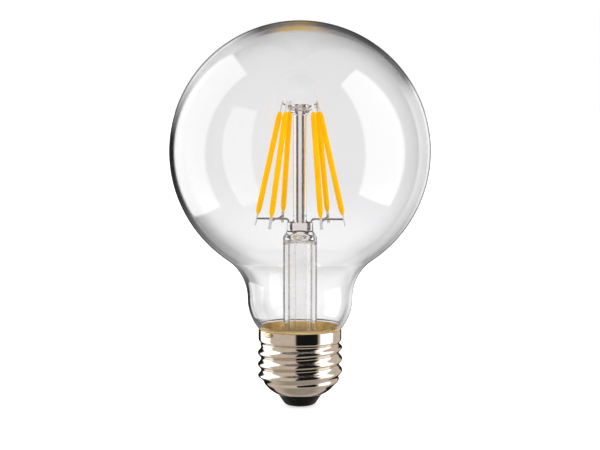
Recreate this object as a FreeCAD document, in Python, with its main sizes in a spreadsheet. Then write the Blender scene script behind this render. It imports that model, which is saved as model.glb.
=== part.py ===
import FreeCAD, Part
import math
import os
import Sketcher

# Globe bulb with six filaments and a screw cap. The origin is the middle of the flat contact at the
# bottom of the cap, +Z runs up the axis to the top of the globe, and the front is the side at -Y.

# Driving sizes, in millimetres and degrees
SIZES = {
    # Blown glass envelope
    "globe_radius": 40.0,
    "shoulder_radius": 14.5,
    "neck_round": 14.9,
    "neck_turn": 37.0,
    "lip_round": 2.0,
    "lip_seat": 1.4,
    "cement_gap": 1.35,
    "sleeve_depth": 6.4,
    "glass_wall": 0.9,
    # Glass stem, its press, exhaust tube and support rod
    "stem_radius": 5.2,
    "stem_wall": 1.0,
    "stem_rise": 27.6,
    "flare_round": 6.0,
    "flare_height": 8.0,
    "flare_foot": 1.0,
    "press_neck": 2.4,
    "press_height": 2.5,
    "press_edge": 0.5,
    "press_depth": 5.2,
    "press_round": 2.2,
    "press_bevel": 0.4,
    "port_radius": 0.9,
    "exhaust_radius": 2.0,
    "exhaust_wall": 0.6,
    "exhaust_clearance": 0.5,
    "rod_radius": 2.1,
    "button_radius": 2.9,
    "button_depth": 2.4,
    "button_rise": 0.55,
    "button_round": 0.5,
    # Filaments and their end tabs
    "filament_radius": 0.88,
    "filament_tip": 0.55,
    "filament_taper": 1.6,
    "filament_length": 32.5,
    "filament_tilt": 12.6,
    "foot_radius": 13.2,
    "foot_rise": 1.15,
    "mount_turn": 7.0,
    "tab_length": 3.4,
    "tab_width": 0.9,
    "tab_thickness": 0.25,
    # Turn of the four inner filaments from the right lead wire, and their lean to the side
    "turn_front_right": 55.0,
    "turn_front_left": 124.0,
    "turn_rear_left": 239.0,
    "turn_rear_right": 304.0,
    "sway_front_right": -2.35,
    "sway_front_left": 0.8,
    "sway_rear_left": -1.4,
    "sway_rear_right": 3.6,
    # Wires inside the globe
    "bridge_wire": 0.2,
    "bridge_rise": 1.733,
    "bridge_step": 0.6,
    "bridge_corner": 3.5,
    "bridge_slope": 22.0,
    "bridge_bend": 1.0,
    "lead_wire": 0.3,
    "lead_inset": 0.7,
    "lead_bend": 0.95,
    "lead_rise": 4.1,
    "arm_rise": 1.0,
    "branch_wire": 0.25,
    # Rolled screw shell
    "thread_pitch": 3.629,
    "thread_major": 13.1,
    "thread_depth": 1.0,
    "thread_crest": 0.9,
    "thread_base": 2.9,
    "thread_start": 7.48,
    "thread_turns": 3.05,
    "hollow_turns": 2.1,
    "shell_wall": 0.3,
    "shell_hole": 6.9,
    "bowl_round": 8.49,
    "bowl_overlap": 0.21,
    "bowl_level": 11.58,
    "bowl_end": 8.2,
    "collar_inset": 0.25,
    "collar_gap": 1.052,
    "collar_step": 0.6,
    "collar_height": 4.4,
    # Insulator, contact, cement and the soldered neutral wire
    "insulator_foot": 0.2,
    "insulator_flat": 3.4,
    "insulator_round": 2.0,
    "insulator_turn": 55.0,
    "insulator_top": 6.6,
    "contact_radius": 3.0,
    "contact_height": 0.5,
    "contact_bevel": 0.25,
    "pin_radius": 1.1,
    "pin_reach": 0.4,
    "cement_lift": 0.2,
    "cement_drop": 0.2,
    "neutral_turn": 139.0,
    "neutral_wire": 0.2,
    "neutral_inside": 2.1,
    "neutral_gap": 0.1,
    "neutral_rise": 1.5,
    "neutral_bend": 0.6,
    "notch_drop": 0.5,
    "notch_width": 0.6,
    "solder_length": 2.0,
    "solder_height": 0.85,
    "solder_depth": 0.5,
    # Driver inside the cap
    "board_width": 16.4,
    "board_thickness": 1.0,
    "board_gap": 0.2,
    "board_height": 8.5,
    "slot_width": 4.8,
    "slot_rise": 3.1,
    "can_radius": 2.5,
    "can_height": 7.5,
    "can_bevel": 0.4,
    "can_rise": 1.1,
    "can_offset": 5.2,
    "can_lead": 0.25,
    "can_lead_gap": 1.0,
    "can_lead_rise": 0.5,
    "chip_height": 4.7,
    "chip_width": 3.8,
    "chip_depth": 1.4,
    "chip_rise": 3.4,
    "chip_offset": 5.3,
    "chip_leg": 0.6,
    "sense_length": 2.0,
    "sense_height": 1.2,
    "sense_depth": 0.6,
    "fuse_radius": 1.1,
    "fuse_waist": 0.95,
    "fuse_length": 5.0,
    "fuse_start": 1.3,
    "fuse_gap": 0.5,
    "fuse_lead": 0.3,
    "fuse_bend": 0.6,
    "fuse_lead_end": 7.3,
    "fuse_lead_rise": 2.6,
    # Fits
    "touch_gap": 0.01,
    "hole_gap": 0.02,
}
# The filaments in turn round the axis; each bridge wire joins one to the one opposite
PLACES = ["right", "front_right", "front_left", "left", "rear_left", "rear_right"]
FILAMENTS = len(PLACES)
BRIDGES = FILAMENTS // 2

# Places that follow from the driving sizes, each worked out from what carries it
DERIVED = {
    # Cap, from the contact up to the rim
    "pin_top": "insulator_top + pin_reach",
    "thread_minor": "thread_major - thread_depth",
    "hollow_start": "thread_start + thread_pitch",
    "bowl_reach": "thread_minor + bowl_overlap - bowl_round",
    "collar_radius": "thread_major - collar_inset",
    "collar_base": "thread_start + thread_turns * thread_pitch + collar_gap",
    "rim_height": "collar_base + collar_height",
    "notch_level": "rim_height - notch_drop",
    "cement_base": "collar_base + collar_step + cement_lift",
    "cement_top": "rim_height - cement_drop",
    # Driver, from the insulator up
    "fuse_height": "insulator_top + fuse_gap + fuse_radius",
    "board_base": "fuse_height + fuse_radius + board_gap",
    "board_top": "board_base + board_height",
    "slot_base": "board_base + slot_rise",
    "can_base": "board_base + can_rise",
    "can_lead_height": "board_base + can_lead_rise",
    "chip_base": "board_base + chip_rise",
    "fuse_lead_top": "board_base + fuse_lead_rise",
    "neutral_level": "board_base + neutral_rise",
    "lead_bottom": "board_base + lead_rise",
    # Glass, from the rim up
    "sleeve_radius": "collar_radius - shell_wall - cement_gap",
    "sleeve_bottom": "rim_height - sleeve_depth",
    "neutral_reach": "sleeve_radius + neutral_gap + neutral_wire",
    "neck_radius": "sleeve_radius + lip_round + neck_round * (1 - cos(neck_turn))",
    "neck_level": "rim_height - lip_seat + lip_round + neck_round * sin(neck_turn)",
    "neck_span": "neck_radius + shoulder_radius",
    "globe_span": "globe_radius + shoulder_radius",
    "neck_drop": "sqrt(globe_span ^ 2 - neck_span ^ 2)",
    "globe_centre": "neck_level + neck_drop",
    # Mount, from the stem up
    "flare_top": "sleeve_bottom + flare_height",
    "stem_top": "rim_height + stem_rise",
    "exhaust_tip": "slot_base + exhaust_clearance",
    "lead_offset": "stem_radius - stem_wall - lead_inset",
    "press_width": "2 * (lead_offset + press_edge)",
    "press_start": "stem_top + stem_wall / 2 + press_neck",
    "press_top": "press_start + press_height",
    "arm_height": "press_top + arm_rise",
    "foot_height": "arm_height + foot_rise",
    "top_radius": "foot_radius - filament_length * sin(filament_tilt)",
    "top_height": "foot_height + filament_length * cos(filament_tilt)",
    "bridge_height": "top_height + bridge_rise",
    "button_top": "bridge_height + button_rise",
    # The outer filaments stand in line with the lead wires
    "turn_right": "0",
    "turn_left": "180",
    "sway_right": "0",
    "sway_left": "0",
}
# Top of each filament, from above
for place in PLACES:
    side = f"top_side_{place}"
    turn = f"turn_{place}"
    DERIVED[side] = f"-filament_length * cos(filament_tilt) * sin(sway_{place})"
    DERIVED[f"top_x_{place}"] = f"top_radius * cos({turn}) + {side} * sin({turn})"
    DERIVED[f"top_y_{place}"] = f"{side} * cos({turn}) - top_radius * sin({turn})"
# Line of each bridge wire from above: its turn, its distance from the axis, its middle and half length
for number in range(BRIDGES):
    near, far = PLACES[number], PLACES[number + BRIDGES]
    turn = f"bridge_turn_{number + 1}"
    DERIVED[turn] = f"atan2(top_y_{far} - top_y_{near}; top_x_{near} - top_x_{far}) / 1 deg"
    DERIVED[f"bridge_side_{number + 1}"] = f"top_x_{near} * sin({turn}) + top_y_{near} * cos({turn})"
    near_end = f"(top_x_{near} * cos({turn}) - top_y_{near} * sin({turn}))"
    far_end = f"(top_x_{far} * cos({turn}) - top_y_{far} * sin({turn}))"
    DERIVED[f"bridge_middle_{number + 1}"] = f"({near_end} + {far_end}) / 2"
    DERIVED[f"bridge_half_{number + 1}"] = f"({near_end} - {far_end}) / 2"

doc = FreeCAD.newDocument("globe_bulb")
sheet = doc.addObject("Spreadsheet::Sheet", "Sizes")
rows = [(name, str(value)) for name, value in SIZES.items()]
rows += [(name, f"={formula}") for name, formula in DERIVED.items()]
for row, (name, value) in enumerate(rows, 1):
    sheet.set(f"A{row}", name.replace("_", " "))
    sheet.set(f"B{row}", value)
    sheet.setAlias(f"B{row}", name)
doc.recompute()

nodes = []


def size(expression):
    """The present value of an expression in the sheet's cells."""
    return float(sheet.evalExpression(str(expression)))


def keep(item):
    """List an object as one of the bulb's sub-parts."""
    nodes.append(item)
    return item


# Placements, written as expressions
def at(x, y, z):
    return f"placement(vector({x}; {y}; {z}); rotation(vector(0; 0; 1); 0))"


def turned(axis, angle):
    return f"placement(vector(0; 0; 0); rotation(vector({axis}); {angle}))"


def around(angle):
    """Turn about the bulb's axis, from +X towards the front."""
    return turned("0; 0; 1", f"-({angle})")


MOUNT = around("Sizes.mount_turn")


# Sketches
def sketch_on(body, name, role, lift=None):
    """A sketch on one of the body's own planes, lifted along the plane's normal."""
    sketch = body.newObject("Sketcher::SketchObject", name)
    plane = next(item for item in body.Origin.OriginFeatures if item.Role == role)
    sketch.AttachmentSupport = [(plane, "")]
    sketch.MapMode = "FlatFace"
    if lift is not None:
        sketch.setExpression("AttachmentOffset.Base.z", str(lift))
    return sketch


def bind(sketch, constraint, expression):
    """Add a constraint whose value follows an expression."""
    index = sketch.addConstraint(constraint)
    sketch.renameConstraint(index, f"size_{index}")
    sketch.setExpression(f"Constraints.size_{index}", str(expression))


def pin(sketch, geometry, end, x, y):
    """Hold a point of a sketch at the place that two expressions give."""
    for kind, expression, axis in (("DistanceX", x, -2), ("DistanceY", y, -1)):
        value = size(expression)
        if expression == "0":
            sketch.addConstraint(Sketcher.Constraint("PointOnObject", geometry, end, axis))
        elif value < 0:
            bind(sketch, Sketcher.Constraint(kind, geometry, end, -1, 1, -value), f"-({expression})")
        else:
            bind(sketch, Sketcher.Constraint(kind, -1, 1, geometry, end, value), expression)


def arc_between(start, end, radius, side):
    """The shorter arc from start to end with its centre on the left or right of the way along."""
    chord = end - start
    across = FreeCAD.Vector(-chord.y, chord.x, 0).normalize()
    reach = math.sqrt(max(radius ** 2 - chord.Length ** 2 / 4, 0.0))
    centre = (start + end) / 2 + across * (reach if side == "left" else -reach)
    first, last = (start, end) if side == "left" else (end, start)
    angles = [math.atan2(point.y - centre.y, point.x - centre.x) for point in (first, last)]
    if angles[1] <= angles[0]:
        angles[1] += 2 * math.pi
    return Part.ArcOfCircle(Part.Circle(centre, FreeCAD.Vector(0, 0, 1), radius), *angles)


def draw(sketch, corners, closed=True):
    """Draw lines and arcs through corners (x, y), or (x, y, radius, side) where an arc starts there."""
    places = [FreeCAD.Vector(size(corner[0]), size(corner[1]), 0) for corner in corners]
    count = len(corners) if closed else len(corners) - 1
    ends = []
    for index in range(count):
        start, stop = places[index], places[(index + 1) % len(places)]
        if len(corners[index]) == 2:
            sketch.addGeometry(Part.LineSegment(start, stop), False)
            ends.append((1, 2))
            continue
        radius, side = corners[index][2:]
        sketch.addGeometry(arc_between(start, stop, size(radius), side), False)
        ends.append((1, 2) if side == "left" else (2, 1))
    for index in range(count if closed else count - 1):
        following = (index + 1) % count
        joint = Sketcher.Constraint("Coincident", index, ends[index][1], following, ends[following][0])
        sketch.addConstraint(joint)
    for index in range(count):
        pin(sketch, index, ends[index][0], *corners[index][:2])
        if len(corners[index]) > 2:
            radius = corners[index][2]
            bind(sketch, Sketcher.Constraint("Radius", index, size(radius)), radius)
    if not closed:
        pin(sketch, count - 1, ends[-1][1], *corners[-1][:2])
    return sketch


def circle(sketch, radius, x="0", y="0"):
    middle = FreeCAD.Vector(size(x), size(y), 0)
    index = sketch.addGeometry(Part.Circle(middle, FreeCAD.Vector(0, 0, 1), size(radius)), False)
    pin(sketch, index, 3, x, y)
    bind(sketch, Sketcher.Constraint("Radius", index, size(radius)), radius)
    return sketch


# Pieces
def new_body(label, placement=None):
    body = doc.addObject("PartDesign::Body", label)
    if placement:
        body.setExpression("Placement", placement)
    return body


def revolve(body, name, corners, kind="PartDesign::Revolution"):
    """Turn an outline in the XZ plane about the body's Z axis."""
    outline = draw(sketch_on(body, f"{name}_outline", "XZ_Plane"), corners)
    feature = body.newObject(kind, name)
    feature.Profile = outline
    feature.ReferenceAxis = (outline, ["V_Axis"])
    feature.Angle = 360
    return feature


def lathe(label, corners, placement=None):
    body = new_body(label, placement)
    revolve(body, f"{label}_turned", corners)
    return body


def pipe(body, radius, path_plane, path_lift, corners, start_plane, start):
    """Sweep a round wire along a planar path; start is the middle of its first end on start_plane."""
    label = body.Name
    path = draw(sketch_on(body, f"{label}_path", path_plane, path_lift), corners, closed=False)
    end = circle(sketch_on(body, f"{label}_end", start_plane, start[2]), radius, start[0], start[1])
    feature = body.newObject("PartDesign::AdditivePipe", f"{label}_wire")
    feature.Profile = end
    feature.Spine = (path, [f"Edge{number}" for number in range(1, len(corners))])
    return feature


def block(label, length, width, height, placement):
    item = doc.addObject("Part::Box", label)
    for name, expression in (("Length", length), ("Width", width), ("Height", height)):
        item.setExpression(name, expression)
    item.setExpression("Placement", placement)
    return item


def cylinder(label, radius, height, placement):
    item = doc.addObject("Part::Cylinder", label)
    item.setExpression("Radius", radius)
    item.setExpression("Height", height)
    item.setExpression("Placement", placement)
    return item


def fused(label, items):
    item = doc.addObject("Part::MultiFuse", label)
    item.Shapes = items
    return item


def cut(label, base, tool):
    item = doc.addObject("Part::Cut", label)
    item.Base = base
    item.Tool = tool
    return item


# Glass envelope: globe, concave shoulder, bulged neck and the straight sleeve sealed inside the cap
LIP_RADIUS = "(Sizes.sleeve_radius + Sizes.lip_round)"
SLEEVE_TOP = "(Sizes.rim_height - Sizes.lip_seat)"


def glass_side(depth):
    """One face of the glass from the top of the globe down, at a depth inside the outer face."""
    globe = f"(Sizes.globe_radius - {depth})"
    neck = f"(Sizes.neck_round - {depth})"
    lip = f"(Sizes.lip_round + {depth})"
    tip_level = f"Sizes.neck_level - {neck} * sin(Sizes.neck_turn)"
    return [
        ("0", f"Sizes.globe_centre + {globe}", globe, "right"),
        (
            f"Sizes.neck_span * {globe} / Sizes.globe_span",
            f"Sizes.globe_centre - Sizes.neck_drop * {globe} / Sizes.globe_span",
            f"Sizes.shoulder_radius + {depth}",
            "left",
        ),
        (f"Sizes.neck_radius - {depth}", "Sizes.neck_level", neck, "right"),
        (f"{LIP_RADIUS} - {depth} * cos(Sizes.neck_turn)", tip_level, lip, "left"),
        (f"Sizes.sleeve_radius - {depth}", SLEEVE_TOP),
        (f"Sizes.sleeve_radius - {depth}", "Sizes.sleeve_bottom"),
    ]


def reversed_side(side):
    """The same run of corners walked from the bottom up."""
    flip = {"left": "right", "right": "left"}
    turned_side = []
    for index in range(len(side) - 1, -1, -1):
        bend = side[index - 1][2:] if index else ()
        bend = (bend[0], flip[bend[1]]) if bend else ()
        turned_side.append(side[index][:2] + bend)
    return turned_side


keep(lathe("glass_envelope", glass_side("0") + reversed_side(glass_side("Sizes.glass_wall"))))


# Stem: flared foot fused into the sleeve, straight tube, flattened press with the wires sealed in it
STEM_BORE = "(Sizes.stem_radius - Sizes.stem_wall)"
STEM_END = "(Sizes.stem_top + Sizes.stem_wall / 2)"
FLARE_CENTRE = "(Sizes.stem_radius + Sizes.flare_round)"
FOOT_RADIUS = "(Sizes.sleeve_radius - Sizes.glass_wall - Sizes.touch_gap)"
FOOT_INSIDE = f"({FOOT_RADIUS} - Sizes.flare_foot)"
FLARE_INSIDE = "(Sizes.flare_round + Sizes.stem_wall)"


def oval(body, name, lift, width, depth, corner):
    """A rounded rectangle across the bulb's axis at a height."""
    half_width = f"({width} / 2)"
    half_depth = f"({depth} / 2)"
    flat_x = f"({half_width} - {corner})"
    flat_y = f"({half_depth} - {corner})"
    corners = [
        (f"-{flat_x}", f"-{half_depth}"),
        (flat_x, f"-{half_depth}", corner, "left"),
        (half_width, f"-{flat_y}"),
        (half_width, flat_y, corner, "left"),
        (flat_x, half_depth),
        (f"-{flat_x}", half_depth, corner, "left"),
        (f"-{half_width}", flat_y),
        (f"-{half_width}", f"-{flat_y}", corner, "left"),
    ]
    return draw(sketch_on(body, name, "XY_Plane", lift), corners)


def press_section(body, name, lift, inset):
    """The press across its width, drawn in by inset all round."""
    width = f"(Sizes.press_width - 2 * {inset})"
    depth = f"(Sizes.press_depth - 2 * {inset})"
    return oval(body, name, lift, width, depth, f"(Sizes.press_round - {inset})")


def loft(body, name, lower, upper):
    feature = body.newObject("PartDesign::AdditiveLoft", name)
    feature.Profile = lower
    feature.Sections = [upper]
    return feature


def pocket(body, name, sketch, through=True, length=None, reverse=False):
    feature = body.newObject("PartDesign::Pocket", name)
    feature.Profile = sketch
    feature.Reversed = reverse
    if through:
        feature.Type = "ThroughAll"
    if length:
        feature.setExpression("Length", length)
    return feature


stem = new_body("stem", MOUNT)
revolve(stem, "stem_tube", [
    (FOOT_INSIDE, "Sizes.sleeve_bottom"),
    (FOOT_RADIUS, "Sizes.sleeve_bottom"),
    (
        FOOT_RADIUS,
        f"Sizes.flare_top - sqrt(Sizes.flare_round ^ 2 - ({FLARE_CENTRE} - {FOOT_RADIUS}) ^ 2)",
        "Sizes.flare_round",
        "right",
    ),
    ("Sizes.stem_radius", "Sizes.flare_top"),
    ("Sizes.stem_radius", STEM_END),
    ("0", STEM_END),
    ("0", "Sizes.stem_top"),
    (STEM_BORE, "Sizes.stem_top"),
    (STEM_BORE, "Sizes.flare_top", FLARE_INSIDE, "left"),
    (
        FOOT_INSIDE,
        f"Sizes.flare_top - sqrt({FLARE_INSIDE} ^ 2 - ({FLARE_CENTRE} - {FOOT_INSIDE}) ^ 2)",
    ),
])
# The neck starts a hair inside the tube's wall, with corners that all but make it round
TUBE_WIDTH = "(2 * Sizes.stem_radius * 0.99)"
TUBE_CORNER = "(Sizes.stem_radius * 0.96)"
tube_end = oval(stem, "stem_tube_end", STEM_END, TUBE_WIDTH, TUBE_WIDTH, TUBE_CORNER)
press_foot = press_section(stem, "press_foot", "Sizes.press_start", "0")
loft(stem, "press_neck", tube_end, press_foot)
press_pad = stem.newObject("PartDesign::Pad", "press")
press_pad.Profile = press_section(stem, "press_flat", "Sizes.press_start", "0")
press_pad.setExpression("Length", "Sizes.press_top - Sizes.press_bevel - Sizes.press_start")
BEVEL_START = "Sizes.press_top - Sizes.press_bevel"
bevel_foot = press_section(stem, "press_bevel_foot", BEVEL_START, "0")
bevel_top = press_section(stem, "press_bevel_top", "Sizes.press_top", "Sizes.press_bevel")
loft(stem, "press_bevel", bevel_foot, bevel_top)
for side, sign in (("left", "-"), ("right", "")):
    hole = sketch_on(stem, f"lead_hole_{side}_outline", "XY_Plane")
    circle(hole, "Sizes.lead_wire + Sizes.hole_gap", f"{sign}Sizes.lead_offset")
    pocket(stem, f"lead_hole_{side}", hole, reverse=True)
exhaust_end = sketch_on(stem, "exhaust_way_outline", "XY_Plane", "Sizes.stem_top")
circle(exhaust_end, "Sizes.exhaust_radius - Sizes.exhaust_wall")
PORT_RISE = "(2 * Sizes.port_radius)"
pocket(stem, "exhaust_way", exhaust_end, through=False, length=PORT_RISE, reverse=True)
port = sketch_on(stem, "exhaust_port_outline", "XZ_Plane")
circle(port, "Sizes.port_radius", "0", "Sizes.stem_top + Sizes.port_radius")
pocket(stem, "exhaust_port", port)
keep(stem)

keep(lathe("exhaust_tube", [
    ("0", "Sizes.exhaust_tip", "Sizes.exhaust_radius", "left"),
    ("Sizes.exhaust_radius", "Sizes.exhaust_tip + Sizes.exhaust_radius"),
    ("Sizes.exhaust_radius", "Sizes.stem_top"),
    ("Sizes.exhaust_radius - Sizes.exhaust_wall", "Sizes.stem_top"),
    (
        "Sizes.exhaust_radius - Sizes.exhaust_wall",
        "Sizes.exhaust_tip + Sizes.exhaust_radius",
        "Sizes.exhaust_radius - Sizes.exhaust_wall",
        "right",
    ),
    ("0", "Sizes.exhaust_tip + Sizes.exhaust_wall"),
]))


# Support rod with its button, drilled by the bridge wires that are melted into it
BUTTON_BASE = "(Sizes.button_top - Sizes.button_depth)"
BUTTON_FLARE = "(Sizes.button_radius - Sizes.rod_radius)"
rod = lathe("rod_blank", [
    ("0", "Sizes.press_top"),
    ("Sizes.rod_radius", "Sizes.press_top"),
    ("Sizes.rod_radius", f"{BUTTON_BASE} - {BUTTON_FLARE}"),
    ("Sizes.button_radius", BUTTON_BASE),
    ("Sizes.button_radius", "Sizes.button_top - Sizes.button_round", "Sizes.button_round", "left"),
    ("Sizes.button_radius - Sizes.button_round", "Sizes.button_top"),
    ("0", "Sizes.button_top"),
])


def bridge_level(index):
    return f"(Sizes.bridge_height - {index} * Sizes.bridge_step)"


def bridge_line(index, start):
    """Axes of a bridge wire: X along it, from a place on it towards its first filament."""
    turn = around(f"Sizes.mount_turn + Sizes.bridge_turn_{index + 1}")
    return f"{turn} * {at(start, f'Sizes.bridge_side_{index + 1}', bridge_level(index))}"


holes = []
for index in range(BRIDGES):
    start = bridge_line(index, "-2 * Sizes.button_radius")
    along = turned("0; 1; 0", 90)
    hole = cylinder(
        f"bridge_hole_{index + 1}",
        "Sizes.bridge_wire + Sizes.hole_gap",
        "4 * Sizes.button_radius",
        f"{start} * {along}",
    )
    holes.append(hole)
keep(cut("support_rod", rod, fused("bridge_holes", holes)))


# Six coated filaments leaning in towards the top, with a metal tab at each end
TAN_TILT = "tan(Sizes.filament_tilt)"
ARM_RADIUS = f"(Sizes.foot_radius + (Sizes.foot_height - Sizes.arm_height) * {TAN_TILT})"
TAPER_RISE = "(Sizes.filament_radius - Sizes.filament_tip)"
TAPER_ROUND = f"(({TAPER_RISE} ^ 2 + Sizes.filament_taper ^ 2) / (2 * {TAPER_RISE}))"


def leaning(place, twist="0"):
    """Filament axes: origin at the foot of the coating, Z along the filament towards the top."""
    turn = around(f"Sizes.mount_turn + Sizes.turn_{place}")
    foot = at("Sizes.foot_radius", 0, "Sizes.foot_height")
    sway = turned("1; 0; 0", f"Sizes.sway_{place}")
    lean = turned("0; 1; 0", "-Sizes.filament_tilt")
    return f"{turn} * {foot} * {sway} * {lean} * {turned('0; 0; 1', twist)}"


def tab(label, place, level, twist):
    corner = at("-Sizes.tab_thickness / 2", "-Sizes.tab_width / 2", level)
    axes = f"{leaning(place, twist)} * {corner}"
    return block(label, "Sizes.tab_thickness", "Sizes.tab_width", "Sizes.tab_length", axes)


# Each tab is twisted about its filament to face the wire that is welded to it: the bridge wire at the
# top, and at the foot a lead wire or an arm that stands square to it
LEAD_TURN = {"right": 0, "left": 180}
ARM_TURN = {"front_right": 90, "front_left": 90, "rear_left": 270, "rear_right": 270}
FOOT_TURN = {**LEAD_TURN, **ARM_TURN}
for index, place in enumerate(PLACES):
    bridge = index % BRIDGES + 1
    half_turn = 180 * (index // BRIDGES)
    strip = [
        ("0", "0"),
        ("Sizes.filament_tip", "0", TAPER_ROUND, "left"),
        ("Sizes.filament_radius", "Sizes.filament_taper"),
        ("Sizes.filament_radius", "Sizes.filament_length - Sizes.filament_taper", TAPER_ROUND, "left"),
        ("Sizes.filament_tip", "Sizes.filament_length"),
        ("0", "Sizes.filament_length"),
    ]
    top_twist = f"Sizes.turn_{place} - Sizes.bridge_turn_{bridge} - {half_turn}"
    foot_twist = f"Sizes.turn_{place} - {FOOT_TURN[place]}"
    keep(lathe(f"filament_{index + 1}", strip, leaning(place)))
    keep(tab(f"top_tab_{index + 1}", place, "Sizes.filament_length", top_twist))
    keep(tab(f"foot_tab_{index + 1}", place, "-Sizes.tab_length", foot_twist))


# Bridge wires: each joins the tops of two opposite filaments through the button
TAN_SLOPE = "tan(Sizes.bridge_slope)"
BEND_RUN = "(Sizes.bridge_bend * tan(Sizes.bridge_slope / 2))"
TAB_FACE = "(Sizes.tab_thickness / 2 / cos(Sizes.filament_tilt))"
for index in range(BRIDGES):
    drop = f"(Sizes.top_height - {bridge_level(index)} + Sizes.bridge_corner * {TAN_SLOPE})"
    face = f"(Sizes.bridge_half_{index + 1} + {drop} * {TAN_TILT} - {TAB_FACE})"
    meeting = f"({face} / (1 + {TAN_SLOPE} * {TAN_TILT}))"
    edge = "(Sizes.bridge_wire * sin(Sizes.bridge_slope - Sizes.filament_tilt))"
    tip = f"({meeting} - {edge} - Sizes.touch_gap)"
    wire = new_body(f"bridge_wire_{index + 1}", bridge_line(index, f"Sizes.bridge_middle_{index + 1}"))
    half = pipe(wire, "Sizes.bridge_wire", "XZ_Plane", None, [
        ("0", "0"),
        (f"Sizes.bridge_corner - {BEND_RUN}", "0", "Sizes.bridge_bend", "left"),
        (
            f"Sizes.bridge_corner + {BEND_RUN} * cos(Sizes.bridge_slope)",
            f"{BEND_RUN} * sin(Sizes.bridge_slope)",
        ),
        (tip, f"({tip} - Sizes.bridge_corner) * {TAN_SLOPE}"),
    ], "YZ_Plane", ("0", "0", None))
    mirror = wire.newObject("PartDesign::Mirrored", f"bridge_wire_{index + 1}_whole")
    mirror.Originals = [half]
    mirror.MirrorPlane = (next(p for p in wire.Origin.OriginFeatures if p.Role == "YZ_Plane"), [""])
    wire.Tip = mirror
    keep(wire)


# Lead wires: up from the driver through the stem and press, then out to the foot of a filament
LEAD_TIP = f"({ARM_RADIUS} - {TAB_FACE} - Sizes.lead_wire * {TAN_TILT} - Sizes.touch_gap)"
for side, turn in LEAD_TURN.items():
    wire = new_body(f"lead_wire_{side}", around(f"Sizes.mount_turn + {turn}"))
    pipe(wire, "Sizes.lead_wire", "XZ_Plane", None, [
        ("Sizes.lead_offset", "Sizes.lead_bottom"),
        ("Sizes.lead_offset", "Sizes.arm_height - Sizes.lead_bend", "Sizes.lead_bend", "right"),
        ("Sizes.lead_offset + Sizes.lead_bend", "Sizes.arm_height"),
        (LEAD_TIP, "Sizes.arm_height"),
    ], "XY_Plane", ("Sizes.lead_offset", "0", "Sizes.lead_bottom"))
    keep(wire)


# Branch arms: welded square to a lead wire, each feeds one of the filaments beside it
BRANCH_START = "(Sizes.lead_wire + Sizes.touch_gap)"
for side, name, place in (
    ("right", "a", "front_right"),
    ("right", "b", "rear_right"),
    ("left", "a", "rear_left"),
    ("left", "b", "front_left"),
):
    off = f"(Sizes.turn_{place} - {LEAD_TURN[side]})"
    slack = f"(Sizes.foot_rise * tan(abs(Sizes.sway_{place})) + Sizes.touch_gap)"
    end = f"({ARM_RADIUS} * abs(sin({off})) - {TAB_FACE} - Sizes.branch_wire * {TAN_TILT} - {slack})"
    tilt, sign = (90, "-") if name == "a" else (-90, "")
    start = at(f"{ARM_RADIUS} * cos({off})", f"{sign}{BRANCH_START}", "Sizes.arm_height")
    line = f"{around(f'Sizes.mount_turn + {LEAD_TURN[side]}')} * {start} * {turned('1; 0; 0', tilt)}"
    keep(cylinder(f"branch_arm_{side}_{name}", "Sizes.branch_wire", f"{end} - {BRANCH_START}", line))


# Screw shell: rolled from sheet, with a helical thread, a bowl at the foot and a bevelled rim
SHELL_INSIDE = "(Sizes.thread_minor - Sizes.shell_wall)"
COLLAR_INSIDE = "(Sizes.collar_radius - Sizes.shell_wall)"
COLLAR_TOP = "(Sizes.collar_base + Sizes.collar_step)"
RIM_BEVEL = "(Sizes.shell_wall / 2)"


def bowl_level(radius, inset):
    """Height of the bowl's round wall at a radius, at a depth inside its outer face."""
    return f"(Sizes.bowl_level - sqrt((Sizes.bowl_round - {inset}) ^ 2 - ({radius} - Sizes.bowl_reach) ^ 2))"


def bowl_radius(level, inset):
    """Radius of the bowl's round wall at a height, at a depth inside its outer face."""
    return f"(Sizes.bowl_reach + sqrt((Sizes.bowl_round - {inset}) ^ 2 - (Sizes.bowl_level - {level}) ^ 2))"


def thread_section(body, name, start, inset, depth):
    """The ridge across the thread: a flat crest with sloping flanks, standing on a short root."""
    root = f"(Sizes.thread_minor - {inset})"
    crest = f"(Sizes.thread_major - {inset})"
    half_base = f"(Sizes.thread_base / 2 - {inset} / 2)"
    half_crest = f"(Sizes.thread_crest / 2 - {inset} / 4)"
    corners = [
        (f"{root} - {depth}", f"{start} - {half_base}"),
        (root, f"{start} - {half_base}"),
        (crest, f"{start} - {half_crest}"),
        (crest, f"{start} + {half_crest}"),
        (root, f"{start} + {half_base}"),
        (f"{root} - {depth}", f"{start} + {half_base}"),
    ]
    return draw(sketch_on(body, name, "XZ_Plane"), corners)


def helix(body, name, kind, section, turns):
    feature = body.newObject(kind, name)
    feature.Profile = section
    feature.ReferenceAxis = (section, ["V_Axis"])
    feature.Mode = "pitch-turns-angle"
    feature.setExpression("Pitch", "Sizes.thread_pitch")
    feature.setExpression("Turns", turns)
    feature.LeftHanded = False
    return feature


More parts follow.
